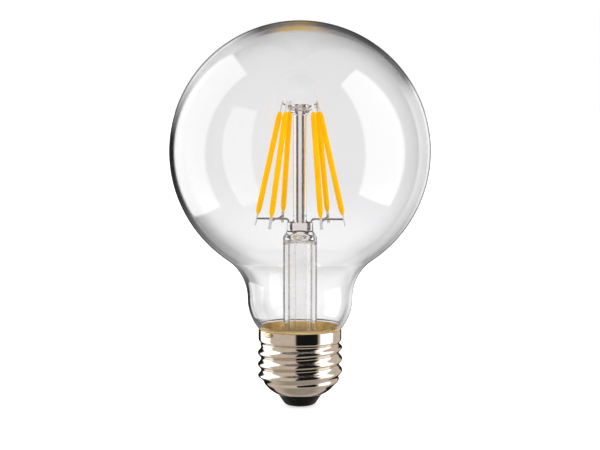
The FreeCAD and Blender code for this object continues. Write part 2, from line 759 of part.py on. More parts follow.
shell = new_body("shell_blank")
BOWL_FOOT = bowl_level("Sizes.shell_hole", "0")
revolve(shell, "shell_tube", [
    ("Sizes.shell_hole", f"{BOWL_FOOT} - Sizes.shell_wall"),
    ("Sizes.thread_minor", f"{BOWL_FOOT} - Sizes.shell_wall"),
    ("Sizes.thread_minor", "Sizes.collar_base"),
    ("Sizes.collar_radius", COLLAR_TOP),
    ("Sizes.collar_radius", f"Sizes.rim_height - {RIM_BEVEL}"),
    (f"Sizes.collar_radius - {RIM_BEVEL}", "Sizes.rim_height"),
    (COLLAR_INSIDE, "Sizes.rim_height"),
    (COLLAR_INSIDE, COLLAR_TOP),
    (SHELL_INSIDE, "Sizes.collar_base"),
    (
        SHELL_INSIDE,
        bowl_level(SHELL_INSIDE, "Sizes.shell_wall"),
        "Sizes.bowl_round - Sizes.shell_wall",
        "right",
    ),
    ("Sizes.shell_hole", bowl_level("Sizes.shell_hole", "Sizes.shell_wall")),
])
ridge = thread_section(shell, "thread_ridge", "Sizes.thread_start", "0", "Sizes.shell_wall / 2")
helix(shell, "thread", "PartDesign::AdditiveHelix", ridge, "Sizes.thread_turns")
BOWL_RIM = bowl_radius("Sizes.bowl_end", "0")
OUTSIDE = "(Sizes.thread_major + Sizes.shell_wall)"
revolve(shell, "bowl", [
    ("Sizes.shell_hole", f"{BOWL_FOOT} - 2 * Sizes.shell_wall"),
    (OUTSIDE, f"{BOWL_FOOT} - 2 * Sizes.shell_wall"),
    (OUTSIDE, f"Sizes.bowl_end + {OUTSIDE} - {BOWL_RIM}"),
    (BOWL_RIM, "Sizes.bowl_end", "Sizes.bowl_round", "right"),
    ("Sizes.shell_hole", BOWL_FOOT),
], "PartDesign::Groove")
hollow = thread_section(shell, "thread_hollow", "Sizes.hollow_start", "Sizes.shell_wall", "Sizes.shell_wall")
helix(shell, "thread_inside", "PartDesign::SubtractiveHelix", hollow, "Sizes.hollow_turns")
NOTCH_BASE = "(Sizes.notch_level - Sizes.notch_width / 2)"
notch = block(
    "rim_notch",
    "2 * Sizes.shell_wall + Sizes.thread_major - Sizes.neutral_reach",
    "Sizes.notch_width",
    f"Sizes.rim_height - {NOTCH_BASE} + Sizes.shell_wall",
    f"{around('Sizes.neutral_turn')} * {at('Sizes.neutral_reach', '-Sizes.notch_width / 2', NOTCH_BASE)}",
)
keep(cut("screw_shell", shell, notch))


# Insulator: black glass moulded into the bowl, with a seat for the contact
INSULATOR_HOLE = "(Sizes.shell_hole - Sizes.touch_gap)"
INSULATOR_INSET = "(Sizes.shell_wall + Sizes.touch_gap)"
INSULATOR_EDGE = bowl_level(INSULATOR_HOLE, INSULATOR_INSET)
SEAT_RADIUS = "(Sizes.contact_radius + Sizes.hole_gap)"
PIN_HOLE = "(Sizes.pin_radius + Sizes.hole_gap)"
keep(lathe("cap_insulator", [
    (PIN_HOLE, "Sizes.contact_height"),
    (SEAT_RADIUS, "Sizes.contact_height"),
    (SEAT_RADIUS, "Sizes.insulator_foot"),
    ("Sizes.insulator_flat", "Sizes.insulator_foot", "Sizes.insulator_round", "left"),
    (
        "Sizes.insulator_flat + Sizes.insulator_round * sin(Sizes.insulator_turn)",
        "Sizes.insulator_foot + Sizes.insulator_round * (1 - cos(Sizes.insulator_turn))",
    ),
    (INSULATOR_HOLE, BOWL_FOOT),
    (INSULATOR_HOLE, INSULATOR_EDGE, f"Sizes.bowl_round - {INSULATOR_INSET}", "left"),
    (bowl_radius("Sizes.insulator_top", INSULATOR_INSET), "Sizes.insulator_top"),
    (PIN_HOLE, "Sizes.insulator_top"),
]))

keep(lathe("centre_contact", [
    ("0", "0"),
    ("Sizes.contact_radius - Sizes.contact_bevel", "0"),
    ("Sizes.contact_radius", "Sizes.contact_bevel"),
    ("Sizes.contact_radius", "Sizes.contact_height"),
    ("Sizes.pin_radius", "Sizes.contact_height"),
    ("Sizes.pin_radius", "Sizes.pin_top"),
    ("0", "Sizes.pin_top"),
]))


# Cement: fills the ring between the glass sleeve and the collar, with a channel for the neutral wire
CEMENT_OUTSIDE = f"({COLLAR_INSIDE} - Sizes.touch_gap)"
CEMENT_INSIDE = "(Sizes.sleeve_radius + Sizes.touch_gap)"
CEMENT_ROUND = "(Sizes.lip_round - Sizes.touch_gap)"
CEMENT_RISE = f"(Sizes.cement_top - {SLEEVE_TOP})"
cement = lathe("cement_ring", [
    (CEMENT_INSIDE, "Sizes.cement_base"),
    (CEMENT_OUTSIDE, "Sizes.cement_base"),
    (CEMENT_OUTSIDE, "Sizes.cement_top"),
    (
        f"{LIP_RADIUS} - sqrt({CEMENT_ROUND} ^ 2 - {CEMENT_RISE} ^ 2)",
        "Sizes.cement_top",
        CEMENT_ROUND,
        "left",
    ),
    (CEMENT_INSIDE, SLEEVE_TOP),
])
CHANNEL_WIDTH = "(2 * (Sizes.neutral_wire + Sizes.hole_gap))"
channel = block(
    "cement_channel",
    "Sizes.collar_radius - Sizes.neutral_reach + 2 * Sizes.lip_round",
    CHANNEL_WIDTH,
    "Sizes.rim_height - Sizes.collar_base",
    f"{around('Sizes.neutral_turn')} * "
    + at("Sizes.neutral_reach - Sizes.lip_round", f"-{CHANNEL_WIDTH} / 2", "Sizes.collar_base"),
)
keep(cut("capping_cement", cement, channel))


# Neutral wire: from the board out under the glass, up inside the shell and through the rim notch
neutral = new_body("neutral_wire", around("Sizes.neutral_turn"))
pipe(neutral, "Sizes.neutral_wire", "XZ_Plane", None, [
    ("Sizes.neutral_inside", "Sizes.neutral_level"),
    ("Sizes.neutral_reach - Sizes.neutral_bend", "Sizes.neutral_level", "Sizes.neutral_bend", "left"),
    ("Sizes.neutral_reach", "Sizes.neutral_level + Sizes.neutral_bend"),
    ("Sizes.neutral_reach", "Sizes.notch_level - Sizes.neutral_bend", "Sizes.neutral_bend", "right"),
    ("Sizes.neutral_reach + Sizes.neutral_bend", "Sizes.notch_level"),
    ("Sizes.collar_radius", "Sizes.notch_level"),
], "YZ_Plane", ("0", "Sizes.neutral_level", "Sizes.neutral_inside"))
keep(neutral)

drop = doc.addObject("Part::Ellipsoid", "solder_drop")
drop.setExpression("Radius1", "Sizes.solder_height")
drop.setExpression("Radius2", "Sizes.solder_depth")
drop.setExpression("Radius3", "Sizes.solder_length")
drop.setExpression(
    "Placement",
    f"{around('Sizes.neutral_turn')} * {at('Sizes.collar_radius', 0, NOTCH_BASE)}",
)
collar_face = cylinder(
    "collar_face",
    "Sizes.collar_radius + Sizes.touch_gap",
    "Sizes.rim_height",
    at(0, 0, "Sizes.collar_base / 2"),
)
keep(cut("rim_solder", drop, collar_face))


# Driver board: an upright plate with a slot that clears the exhaust tip
BOARD_BACK = "(-Sizes.lead_wire - Sizes.touch_gap)"
BOARD_FRONT = f"({BOARD_BACK} - Sizes.board_thickness)"
plate = block(
    "board_plate",
    "Sizes.board_width",
    "Sizes.board_thickness",
    "Sizes.board_top - Sizes.board_base",
    f"{MOUNT} * {at('-Sizes.board_width / 2', BOARD_FRONT, 'Sizes.board_base')}",
)
slot = block(
    "board_slot",
    "Sizes.slot_width",
    "3 * Sizes.board_thickness",
    "Sizes.board_top",
    f"{MOUNT} * {at('-Sizes.slot_width / 2', f'{BOARD_FRONT} - Sizes.board_thickness', 'Sizes.slot_base')}",
)
keep(cut("driver_board", plate, slot))


def chip(label, middle, legs):
    """A moulded chip flat on the front of the board, with a row of legs on each side."""
    front = f"({BOARD_FRONT} - Sizes.touch_gap - Sizes.chip_depth)"
    corner = at(f"{middle} - Sizes.chip_width / 2", front, "Sizes.chip_base")
    items = [block(
        f"{label}_body",
        "Sizes.chip_width",
        "Sizes.chip_depth",
        "Sizes.chip_height",
        f"{MOUNT} * {corner}",
    )]
    pitch = f"(Sizes.chip_height / {legs})"
    for number in range(legs):
        level = f"Sizes.chip_base + {pitch} * {number + 0.25}"
        for side, start in (("a", f"{middle} - Sizes.chip_width / 2 - Sizes.chip_leg"), ("b", f"{middle}")):
            corner = at(start, f"{BOARD_FRONT} - Sizes.touch_gap - Sizes.chip_leg", level)
            items.append(block(
                f"{label}_leg_{side}_{number + 1}",
                "Sizes.chip_width / 2 + Sizes.chip_leg",
                "Sizes.chip_leg",
                f"{pitch} / 2",
                f"{MOUNT} * {corner}",
            ))
    return keep(fused(label, items))


chip("bridge_rectifier", "(-Sizes.chip_offset)", 2)
chip("driver_chip", "Sizes.chip_offset", 4)
SENSE_FRONT = f"{BOARD_FRONT} - Sizes.touch_gap - Sizes.sense_depth"
SENSE_BASE = "Sizes.board_base + Sizes.sense_height / 2"
for number in (1, 2):
    corner = at(f"(2 * {number} - 1) * Sizes.sense_length", SENSE_FRONT, SENSE_BASE)
    keep(block(
        f"sense_resistor_{number}",
        "Sizes.sense_length * 0.8",
        "Sizes.sense_depth",
        "Sizes.sense_height",
        f"{MOUNT} * {corner}",
    ))


# Smoothing capacitor: a can with a crimped foot, standing behind the board on its two leads
CAN_CRIMP = "(Sizes.can_radius - Sizes.can_bevel / 2)"
keep(lathe("smoothing_capacitor", [
    ("0", "0"),
    ("Sizes.can_radius - Sizes.can_bevel", "0"),
    ("Sizes.can_radius", "Sizes.can_bevel"),
    (CAN_CRIMP, "2 * Sizes.can_bevel"),
    (CAN_CRIMP, "3 * Sizes.can_bevel"),
    ("Sizes.can_radius", "4 * Sizes.can_bevel"),
    ("Sizes.can_radius", "Sizes.can_height - Sizes.can_bevel"),
    ("Sizes.can_radius - Sizes.can_bevel", "Sizes.can_height"),
    ("0", "Sizes.can_height"),
], f"{MOUNT} * {at(0, 'Sizes.can_offset', 'Sizes.can_base')}"))
for number, sign in ((1, "-"), (2, "")):
    wire = new_body(f"capacitor_lead_{number}", MOUNT)
    across = f"{sign}Sizes.can_lead_gap"
    bend = "2 * Sizes.can_lead"
    pipe(wire, "Sizes.can_lead", "YZ_Plane", across, [
        ("Sizes.can_offset", "Sizes.can_base"),
        ("Sizes.can_offset", f"Sizes.can_lead_height + {bend}", bend, "right"),
        (f"Sizes.can_offset - {bend}", "Sizes.can_lead_height"),
        (BOARD_BACK, "Sizes.can_lead_height"),
    ], "XY_Plane", (across, "Sizes.can_offset", "Sizes.can_base"))
    keep(wire)


# Fuse resistor: lies under the board between the contact pin and the board
FUSE_CAP = "(Sizes.fuse_length / 5)"
keep(lathe("fuse_resistor", [
    ("0", "0"),
    ("Sizes.fuse_waist", "0"),
    ("Sizes.fuse_radius", f"{FUSE_CAP} / 3"),
    ("Sizes.fuse_radius", FUSE_CAP),
    ("Sizes.fuse_waist", f"{FUSE_CAP} * 1.4"),
    ("Sizes.fuse_waist", f"Sizes.fuse_length - {FUSE_CAP} * 1.4"),
    ("Sizes.fuse_radius", f"Sizes.fuse_length - {FUSE_CAP}"),
    ("Sizes.fuse_radius", f"Sizes.fuse_length - {FUSE_CAP} / 3"),
    ("Sizes.fuse_waist", "Sizes.fuse_length"),
    ("0", "Sizes.fuse_length"),
], f"{MOUNT} * {at('Sizes.fuse_start', 0, 'Sizes.fuse_height')} * {turned('0; 1; 0', 90)}"))

live = new_body("live_wire", MOUNT)
pipe(live, "Sizes.fuse_lead", "XZ_Plane", None, [
    ("0", "Sizes.pin_top"),
    ("0", "Sizes.fuse_height - Sizes.fuse_bend", "Sizes.fuse_bend", "right"),
    ("Sizes.fuse_bend", "Sizes.fuse_height"),
    ("Sizes.fuse_start", "Sizes.fuse_height"),
], "XY_Plane", ("0", "0", "Sizes.pin_top"))
keep(live)

FUSE_END = "(Sizes.fuse_start + Sizes.fuse_length)"
fuse_lead = new_body("fuse_lead", MOUNT)
pipe(fuse_lead, "Sizes.fuse_lead", "XZ_Plane", None, [
    (FUSE_END, "Sizes.fuse_height"),
    ("Sizes.fuse_lead_end - Sizes.fuse_bend", "Sizes.fuse_height", "Sizes.fuse_bend", "left"),
    ("Sizes.fuse_lead_end", "Sizes.fuse_height + Sizes.fuse_bend"),
    ("Sizes.fuse_lead_end", "Sizes.fuse_lead_top"),
], "YZ_Plane", ("0", "Sizes.fuse_height", FUSE_END))
keep(fuse_lead)


# Check the document, then write one file for each sub-part
doc.recompute()
for item in doc.Objects:
    if "Invalid" in item.State or "Error" in item.State:
        raise RuntimeError(f"{item.Label} did not build: {item.State}")
for node in nodes:
    if node.Shape.isNull() or not node.Shape.isValid():
        raise RuntimeError(f"{node.Label} has no valid shape")
os.makedirs("parts", exist_ok=True)
for node in nodes:
    node.Shape.exportStep(f"parts/{node.Label}.step")
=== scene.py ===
import math

import bmesh
import bpy
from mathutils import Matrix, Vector


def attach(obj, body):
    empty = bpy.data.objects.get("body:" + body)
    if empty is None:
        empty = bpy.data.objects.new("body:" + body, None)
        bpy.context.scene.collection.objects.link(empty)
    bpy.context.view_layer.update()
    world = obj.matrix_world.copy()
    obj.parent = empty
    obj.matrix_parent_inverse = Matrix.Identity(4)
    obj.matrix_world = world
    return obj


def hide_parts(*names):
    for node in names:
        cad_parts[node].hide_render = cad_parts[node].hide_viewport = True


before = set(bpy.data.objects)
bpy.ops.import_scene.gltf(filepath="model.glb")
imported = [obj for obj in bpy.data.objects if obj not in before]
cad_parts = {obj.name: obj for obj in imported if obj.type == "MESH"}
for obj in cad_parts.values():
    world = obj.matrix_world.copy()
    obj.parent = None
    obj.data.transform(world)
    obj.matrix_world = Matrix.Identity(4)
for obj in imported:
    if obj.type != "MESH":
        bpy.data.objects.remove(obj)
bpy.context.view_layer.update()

MM = 0.001
BODY = "root"

# Sizes of the bulb in millimetres and degrees, the same as the solids'
GLOBE_RADIUS = 40.0
GLASS_WALL = 0.9
SHOULDER_RADIUS = 14.5
NECK_ROUND = 14.9
NECK_TURN = math.radians(37)
LIP_ROUND = 2.0
SLEEVE_RADIUS = 11.2
SLEEVE_TOP = 22.6
SLEEVE_BOTTOM = 17.6
LIP_RADIUS = SLEEVE_RADIUS + LIP_ROUND
NECK_RADIUS = LIP_RADIUS + NECK_ROUND * (1 - math.cos(NECK_TURN))
NECK_LEVEL = SLEEVE_TOP + LIP_ROUND + NECK_ROUND * math.sin(NECK_TURN)
NECK_SPAN = NECK_RADIUS + SHOULDER_RADIUS
GLOBE_SPAN = GLOBE_RADIUS + SHOULDER_RADIUS
NECK_DROP = math.sqrt(GLOBE_SPAN ** 2 - NECK_SPAN ** 2)
GLOBE_CENTRE = NECK_LEVEL + NECK_DROP

STEM_RADIUS = 5.2
STEM_WALL = 1.0
STEM_BORE = STEM_RADIUS - STEM_WALL
STEM_TOP = 51.6
STEM_END = 52.1
FLARE_ROUND = 6.0
FLARE_TOP = 25.6
FLARE_FOOT = 10.29
PRESS_START = 54.5
PRESS_TOP = 57.0
PRESS_WIDTH = 8.0
PRESS_DEPTH = 5.2
PRESS_ROUND = 2.2
PRESS_BEVEL = 0.4
# The stem's hollow ends in a low dome over a rounded corner
DOME_RISE = 0.3
DOME_CROWN = 6.0
DOME_REACH = 2.4
DOME_DROP = 0.15
DOME_CORNER = 1.8
DOME_SIDE = 1.6
MOUNT_TURN = math.radians(-7)

# Turn of each filament from the right lead wire towards the front, and its lean to the side
FILAMENT_TURNS = (0, 55, 124, 180, 239, 304)
FILAMENT_SWAYS = (0, -2.35, 0.8, 0, -1.4, 3.6)
FILAMENT_LENGTH = 32.5
FILAMENT_RADIUS = 0.88
FILAMENT_TIP = 0.55
FILAMENT_TAPER = 1.6
FILAMENT_POINT = 0.36
FILAMENT_POINTING = 2.6
FILAMENT_EDGE = 0.2
FILAMENT_LUMPS = 0.05
FILAMENT_TILT = math.radians(12.6)
FOOT_RADIUS = 13.2
FOOT_HEIGHT = 59.15

THREAD_PITCH = 3.629
THREAD_ROOT = 12.1
THREAD_DEPTH = 1.0
THREAD_START = 7.48
THREAD_RUN_IN = (5.8, 9.6)
THREAD_RUN_OUT = (18.2, 19.9)
COLLAR_RADIUS = 12.85
COLLAR_BASE = 19.6
RIM_HEIGHT = 24.0
SHELL_WALL = 0.3
BOWL_REACH = 3.82
BOWL_LEVEL = 11.58
BOWL_ROUND = 8.49
SHELL_HOLE = 6.9
CEMENT_BASE = 20.4
CEMENT_TOP = 23.8


# Node helpers
def fill(tree, socket, value):
    """Link a socket to another one, or set its value; a colour without alpha is solid."""
    if isinstance(value, bpy.types.NodeSocket):
        tree.links.new(value, socket)
    elif socket.type == "RGBA" and len(value) == 3:
        socket.default_value = (*value, 1)
    else:
        socket.default_value = value


def put(tree, kind, inputs=None, **settings):
    """Add a node, set its options, then fill its inputs with values or links."""
    node = tree.nodes.new(kind)
    for name, value in settings.items():
        setattr(node, name, value)
    for key, value in (inputs or {}).items():
        fill(tree, node.inputs[key], value)
    return node


def maths(tree, operation, *values):
    """One Math node; returns its result."""
    return put(tree, "ShaderNodeMath", dict(enumerate(values)), operation=operation).outputs[0]


def ramp(tree, factor, stops):
    """A colour ramp through (place, colour) stops; returns its colour."""
    node = put(tree, "ShaderNodeValToRGB", {"Fac": factor})
    band = node.color_ramp
    band.interpolation = "LINEAR"
    while len(band.elements) < len(stops):
        band.elements.new(1.0)
    for element, (place, colour) in zip(band.elements, stops):
        element.position = place
        element.color = (*colour, 1.0)
    return node.outputs["Color"]


def grey(value):
    return (value, value, value)


# Places of the factor, the two colours and the result among a Mix node's sockets
MIX_INPUTS = (0, 6, 7)
MIX_RESULT = 2


def blend(tree, factor, first, second, kind="MIX"):
    """Mix two colours; returns the result."""
    inputs = dict(zip(MIX_INPUTS, (factor, first, second)))
    node = put(tree, "ShaderNodeMix", inputs, data_type="RGBA", blend_type=kind)
    return node.outputs[MIX_RESULT]


def rise(tree, value, low, high):
    """A soft step from 0 to 1 as a value passes from low to high."""
    return put(tree, "ShaderNodeMapRange", {
        "Value": value, "From Min": low, "From Max": high,
    }, interpolation_type="SMOOTHSTEP").outputs[0]


# Effects that several finishes share
def mottle_group():
    """Uneven colour, gloss and height over a surface, from one noise."""
    group = bpy.data.node_groups.new("mottle", "ShaderNodeTree")
    face = group.interface
    for name, kind, value in (
        ("Scale", "NodeSocketFloat", 200.0),
        ("Detail", "NodeSocketFloat", 4.0),
        ("Stretch", "NodeSocketVector", (1, 1, 1)),
        ("Dark colour", "NodeSocketColor", (0, 0, 0, 1)),
        ("Light colour", "NodeSocketColor", (1, 1, 1, 1)),
        ("Least gloss", "NodeSocketFloat", 0.4),
        ("Most gloss", "NodeSocketFloat", 0.2),
    ):
        face.new_socket(name, in_out="INPUT", socket_type=kind).default_value = value
    for name, kind in (
        ("Colour", "NodeSocketColor"),
        ("Roughness", "NodeSocketFloat"),
        ("Height", "NodeSocketFloat"),
    ):
        face.new_socket(name, in_out="OUTPUT", socket_type=kind)
    given = put(group, "NodeGroupInput").outputs
    place = put(group, "ShaderNodeTexCoord").outputs["Object"]
    place = put(group, "ShaderNodeVectorMath", {0: place, 1: given["Stretch"]}, operation="MULTIPLY")
    noise = put(group, "ShaderNodeTexNoise", {
        "Vector": place.outputs[0],
        "Scale": given["Scale"],
        "Detail": given["Detail"],
        "Roughness": 0.55,
    })
    spread = put(group, "ShaderNodeMapRange", {
        "Value": noise.outputs["Fac"],
        "From Min": 0.3,
        "From Max": 0.7,
    }).outputs[0]
    colour = blend(group, spread, given["Dark colour"], given["Light colour"])
    gloss = put(group, "ShaderNodeMapRange", {
        "Value": spread,
        "To Min": given["Least gloss"],
        "To Max": given["Most gloss"],
    }).outputs[0]
    put(group, "NodeGroupOutput", {"Colour": colour, "Roughness": gloss, "Height": spread})
    return group


MOTTLE = mottle_group()


def finish(name, dark, light, rough, scale, bump, depth=0.05, detail=4.0, stretch=(1, 1, 1), **settings):
    """A material whose colour, gloss and relief vary by the mottle; settings go on the shader itself."""
    material = bpy.data.materials.new(name)
    material.use_nodes = True
    tree = material.node_tree
    shader = tree.nodes["Principled BSDF"]
    pattern = put(tree, "ShaderNodeGroup", {
        "Scale": scale,
        "Detail": detail,
        "Stretch": stretch,
        "Dark colour": dark,
        "Light colour": light,
        "Least gloss": rough[0],
        "Most gloss": rough[1],
    }, node_tree=MOTTLE)
    tree.links.new(pattern.outputs["Colour"], shader.inputs["Base Color"])
    tree.links.new(pattern.outputs["Roughness"], shader.inputs["Roughness"])
    relief = put(tree, "ShaderNodeBump", {
        "Strength": bump,
        "Distance": depth * MM,
        "Height": pattern.outputs["Height"],
    })
    tree.links.new(relief.outputs[0], shader.inputs["Normal"])
    for key, value in settings.items():
        fill(tree, shader.inputs[key.replace("_", " ")], value)
    return material


def mix_in(material, factor, shader):
    """Mix another shader into a material's surface by a factor."""
    tree = material.node_tree
    surface = tree.nodes["Material Output"].inputs["Surface"]
    mixed = put(tree, "ShaderNodeMixShader", {
        0: factor,
        1: surface.links[0].from_socket,
        2: shader.outputs[0],
    })
    tree.links.new(mixed.outputs[0], surface)


# Finishes
# Painted dark outline of clear glass seen edge on: where it starts, where it is full, and its colour
PAINTED_OUTLINE_START = 0.84
PAINTED_OUTLINE_FULL = 0.92
PAINTED_OUTLINE_COLOUR = (0.03, 0.03, 0.032)
GLASS_SHADE = (0.93, 0.93, 0.94)


def glass(name, dark, light, wave, depth, edge, brim):
    """Clear blown or drawn glass with a faint waviness, with painted shade that darkens its tint where it is
    seen edge on.

    The brim is how dark its painted outline is, a dark shader that the camera sees at the edge. The lamps'
    light passes through to what is behind.
    """
    material = finish(
        name, dark, light, (0.0, 0.0), scale=wave, detail=1.0, bump=0.1, depth=depth,
        Transmission_Weight=1.0, IOR=1.5,
    )
    tree = material.node_tree
    tint = tree.nodes["Principled BSDF"].inputs["Base Color"]
    facing = put(tree, "ShaderNodeLayerWeight", {"Blend": 0.5}).outputs["Facing"]
    # Painted shade: the glass's tint darkens by the ramp of stops as it turns edge on
    painted_edge_shade = ramp(tree, facing, edge)
    tree.links.new(blend(tree, 1.0, tint.links[0].from_socket, painted_edge_shade, "MULTIPLY"), tint)
    path = put(tree, "ShaderNodeLightPath").outputs
    # Painted dark outline: for the camera, a dark diffuse shader is mixed in where the glass is seen edge on
    outline = ramp(tree, facing, [(PAINTED_OUTLINE_START, grey(0)), (PAINTED_OUTLINE_FULL, grey(brim))])
    outline = maths(tree, "MULTIPLY", path["Is Camera Ray"], outline)
    mix_in(material, outline, put(tree, "ShaderNodeBsdfDiffuse", {"Color": PAINTED_OUTLINE_COLOUR}))
    clear = put(tree, "ShaderNodeBsdfTransparent", {"Color": GLASS_SHADE})
    mix_in(material, path["Is Shadow Ray"], clear)
    return material


# For each glass, the ramp of stops is painted edge shade on its tint, and the last number is how dark its
# painted outline is
CLEAR_GLASS = glass(
    "clear_glass", (0.93, 0.93, 0.937), (0.965, 0.963, 0.968), 26.0, 0.25,
    [(0.0, grey(1.0)), (0.88, grey(1.0)), (0.96, grey(0.5)), (1.0, grey(0.2))], 0.9,
)
STEM_GLASS = glass(
    "stem_glass", (0.975, 0.973, 0.97), (1.0, 0.998, 0.996), 90.0, 0.06,
    [(0.0, grey(1.0)), (0.84, grey(1.0)), (0.97, grey(0.3)), (1.0, grey(0.2))], 0.0,
)
SHELL_NICKEL = finish(
    "shell_nickel", (0.60, 0.545, 0.49), (0.70, 0.645, 0.59), (0.13, 0.07),
    scale=260.0, stretch=(1, 1, 2), bump=0.06, depth=0.01, Metallic=1.0,
)
WIRE_NICKEL = finish(
    "wire_nickel", (0.62, 0.57, 0.53), (0.82, 0.78, 0.74), (0.36, 0.2),
    scale=900.0, bump=0.2, Metallic=0.8,
)
TAB_METAL = finish(
    "tab_metal", (0.90, 0.88, 0.86), (0.98, 0.97, 0.96), (0.55, 0.4),
    scale=1200.0, bump=0.2, Metallic=0.05,
)
TINNED_WIRE = finish(
    "tinned_wire", (0.45, 0.45, 0.45), (0.72, 0.71, 0.69), (0.35, 0.2),
    scale=1200.0, bump=0.2, Metallic=1.0,
)
BLACK_GLASS = finish(
    "black_glass", (0.003, 0.005, 0.006), (0.008, 0.011, 0.012), (0.3, 0.16),
    scale=420.0, bump=0.15, Specular_IOR_Level=0.12,
)
CONTACT_BRASS = finish(
    "contact_brass", (0.52, 0.36, 0.14), (0.74, 0.56, 0.27), (0.34, 0.18),
    scale=700.0, bump=0.2, Metallic=1.0,
)
# Painted light: the cement's faint glow and the brightened light end of its colour stand in for light that
# reaches it through the glass; its gold tone and dark patches are its own
CEMENT = finish(
    "cement", (0.34, 0.19, 0.04), (1.0, 0.78, 0.34), (0.7, 0.4),
    scale=170.0, bump=0.7, depth=0.3, detail=6.0, Emission_Color=(0.55, 0.33, 0.08), Emission_Strength=0.3,
)
SOLDER = finish(
    "solder", (0.36, 0.25, 0.10), (0.95, 0.90, 0.70), (0.42, 0.28),
    scale=1100.0, bump=0.5, Metallic=0.7,
)
BOARD = finish(
    "board", (0.62, 0.62, 0.60), (0.80, 0.80, 0.78), (0.5, 0.35),
    scale=900.0, bump=0.2, stretch=(1, 1, 3),
)
CHIP_BLACK = finish(
    "chip_black", (0.012, 0.012, 0.013), (0.03, 0.03, 0.032), (0.65, 0.5),
    scale=2500.0, bump=0.3,
)
CAN_SLEEVE = finish(
    "can_sleeve", (0.01, 0.012, 0.03), (0.025, 0.03, 0.07), (0.35, 0.25),
    scale=700.0, bump=0.1,
)
FUSE_ENAMEL = finish(
    "fuse_enamel", (0.13, 0.24, 0.36), (0.22, 0.36, 0.5), (0.5, 0.35),
    scale=900.0, bump=0.2,
)
# Painted light: the faint glow of the phosphor lightens the filaments, which are not lit
PHOSPHOR = finish(
    "phosphor", (1.0, 0.47, 0.0), (1.0, 0.58, 0.0), (0.7, 0.55),
    scale=260.0, bump=0.2, depth=0.04,
    Emission_Color=(1.0, 0.5, 0.0), Emission_Strength=0.3, Specular_IOR_Level=0.05,
)


# Turned pieces
def run_of(corners, closed=True, step=math.radians(2.5)):
    """Points along lines and arcs through corners (radius, level) or (radius, level, round, side)."""
    points = []
    count = len(corners)
    for index, corner in enumerate(corners):
        start = Vector(corner[:2])
        points.append(start)
        if len(corner) == 2 or (index == count - 1 and not closed):
            continue
        end = Vector(corners[(index + 1) % count][:2])
        bend, side = corner[2:]
        chord = end - start
        across = Vector((-chord.y, chord.x)).normalized() * side
        middle = (start + end) / 2 + across * math.sqrt(max(bend ** 2 - chord.length ** 2 / 4, 0))
        first = math.atan2(start.y - middle.y, start.x - middle.x)
        last = math.atan2(end.y - middle.y, end.x - middle.x)
        sweep = (last - first) % (2 * math.pi)
        if side < 0:
            sweep -= 2 * math.pi
        steps = max(int(abs(sweep) / step), 2)
        for number in range(1, steps):
            angle = first + sweep * number / steps
            points.append(middle + Vector((math.cos(angle), math.sin(angle))) * bend)
    return points


LEFT, RIGHT = 1, -1


def make_piece(name, mesh, material, slot, *nodes):
    """Put a finished mesh in the scene as a piece of the bulb that stands for some solids."""
    mesh.materials.clear()
    mesh.materials.append(material)
    piece = bpy.data.objects.new(name, mesh)
    bpy.context.scene.collection.objects.link(piece)
    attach(piece, BODY)
    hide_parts(*nodes)


SHARP_ANGLE = math.radians(40)
SAME_PLACE = 1e-7


def tidy_mesh(mesh):
    """Outward faces, smooth but for sharp edges."""
    work = bmesh.new()
    work.from_mesh(mesh)
    bmesh.ops.remove_doubles(work, verts=work.verts, dist=SAME_PLACE)
    bmesh.ops.recalc_face_normals(work, faces=work.faces)
    work.to_mesh(mesh)
    work.free()
    mesh.shade_smooth()
    mesh.set_sharp_from_angle(angle=SHARP_ANGLE)
    return mesh


def rings_mesh(name, rings, closed):
    """Faces between rings of points; a ring of one point is a pole."""
    places, starts, faces = [], [], []
    for ring in rings:
        starts.append(len(places))
        places += [Vector(point) * MM for point in ring]
    pairs = list(zip(range(len(rings)), range(1, len(rings))))
    if closed:
        pairs.append((len(rings) - 1, 0))
    for low, high in pairs:
        around = max(len(rings[low]), len(rings[high]))
        if around == 1:
            continue
        for number in range(around):
            following = (number + 1) % around
            quad = [
                starts[low] + number % len(rings[low]),
                starts[low] + following % len(rings[low]),
                starts[high] + following % len(rings[high]),
                starts[high] + number % len(rings[high]),
            ]
            faces.append(list(dict.fromkeys(quad)))
    mesh = bpy.data.meshes.new(name)
    mesh.from_pydata(places, [], faces)
    return tidy_mesh(mesh)


def turned_mesh(name, corners, steps=128, fine=2.5):
    """A piece turned on a lathe from a closed outline."""
    rings = []
    for radius, level in run_of(corners, step=math.radians(fine)):
        if radius < 1e-6:
            rings.append([(0, 0, level)])
            continue
        rings.append([
            (
                radius * math.cos(2 * math.pi * number / steps),
                radius * math.sin(2 * math.pi * number / steps),
                level,
            )
            for number in range(steps)
        ])
    return rings_mesh(name, rings, True)


# Glass envelope
def glass_side(depth):
    """One face of the glass from the top of the globe down, at a depth inside the outer face."""
    globe = GLOBE_RADIUS - depth
    neck = NECK_ROUND - depth
    return [
        (0, GLOBE_CENTRE + globe, globe, RIGHT),
        (
            NECK_SPAN * globe / GLOBE_SPAN,
            GLOBE_CENTRE - NECK_DROP * globe / GLOBE_SPAN,
            SHOULDER_RADIUS + depth,
            LEFT,
        ),
        (NECK_RADIUS - depth, NECK_LEVEL, neck, RIGHT),
        (
            LIP_RADIUS - depth * math.cos(NECK_TURN),
            NECK_LEVEL - neck * math.sin(NECK_TURN),
            LIP_ROUND + depth,
            LEFT,
        ),
        (SLEEVE_RADIUS - depth, SLEEVE_TOP),
        (SLEEVE_RADIUS - depth, SLEEVE_BOTTOM),
    ]


def walked_back(side):
    """The same run of corners from the bottom up."""
    back = []
    for index in range(len(side) - 1, -1, -1):
        bend = side[index - 1][2:] if index else ()
        back.append(side[index][:2] + ((bend[0], -bend[1]) if bend else ()))
    return back


make_piece(
    "globe_glass",
    turned_mesh("globe_glass", glass_side(0) + walked_back(glass_side(GLASS_WALL)), 192, 1.8),
    CLEAR_GLASS, "clear_glass", "glass_envelope",
)


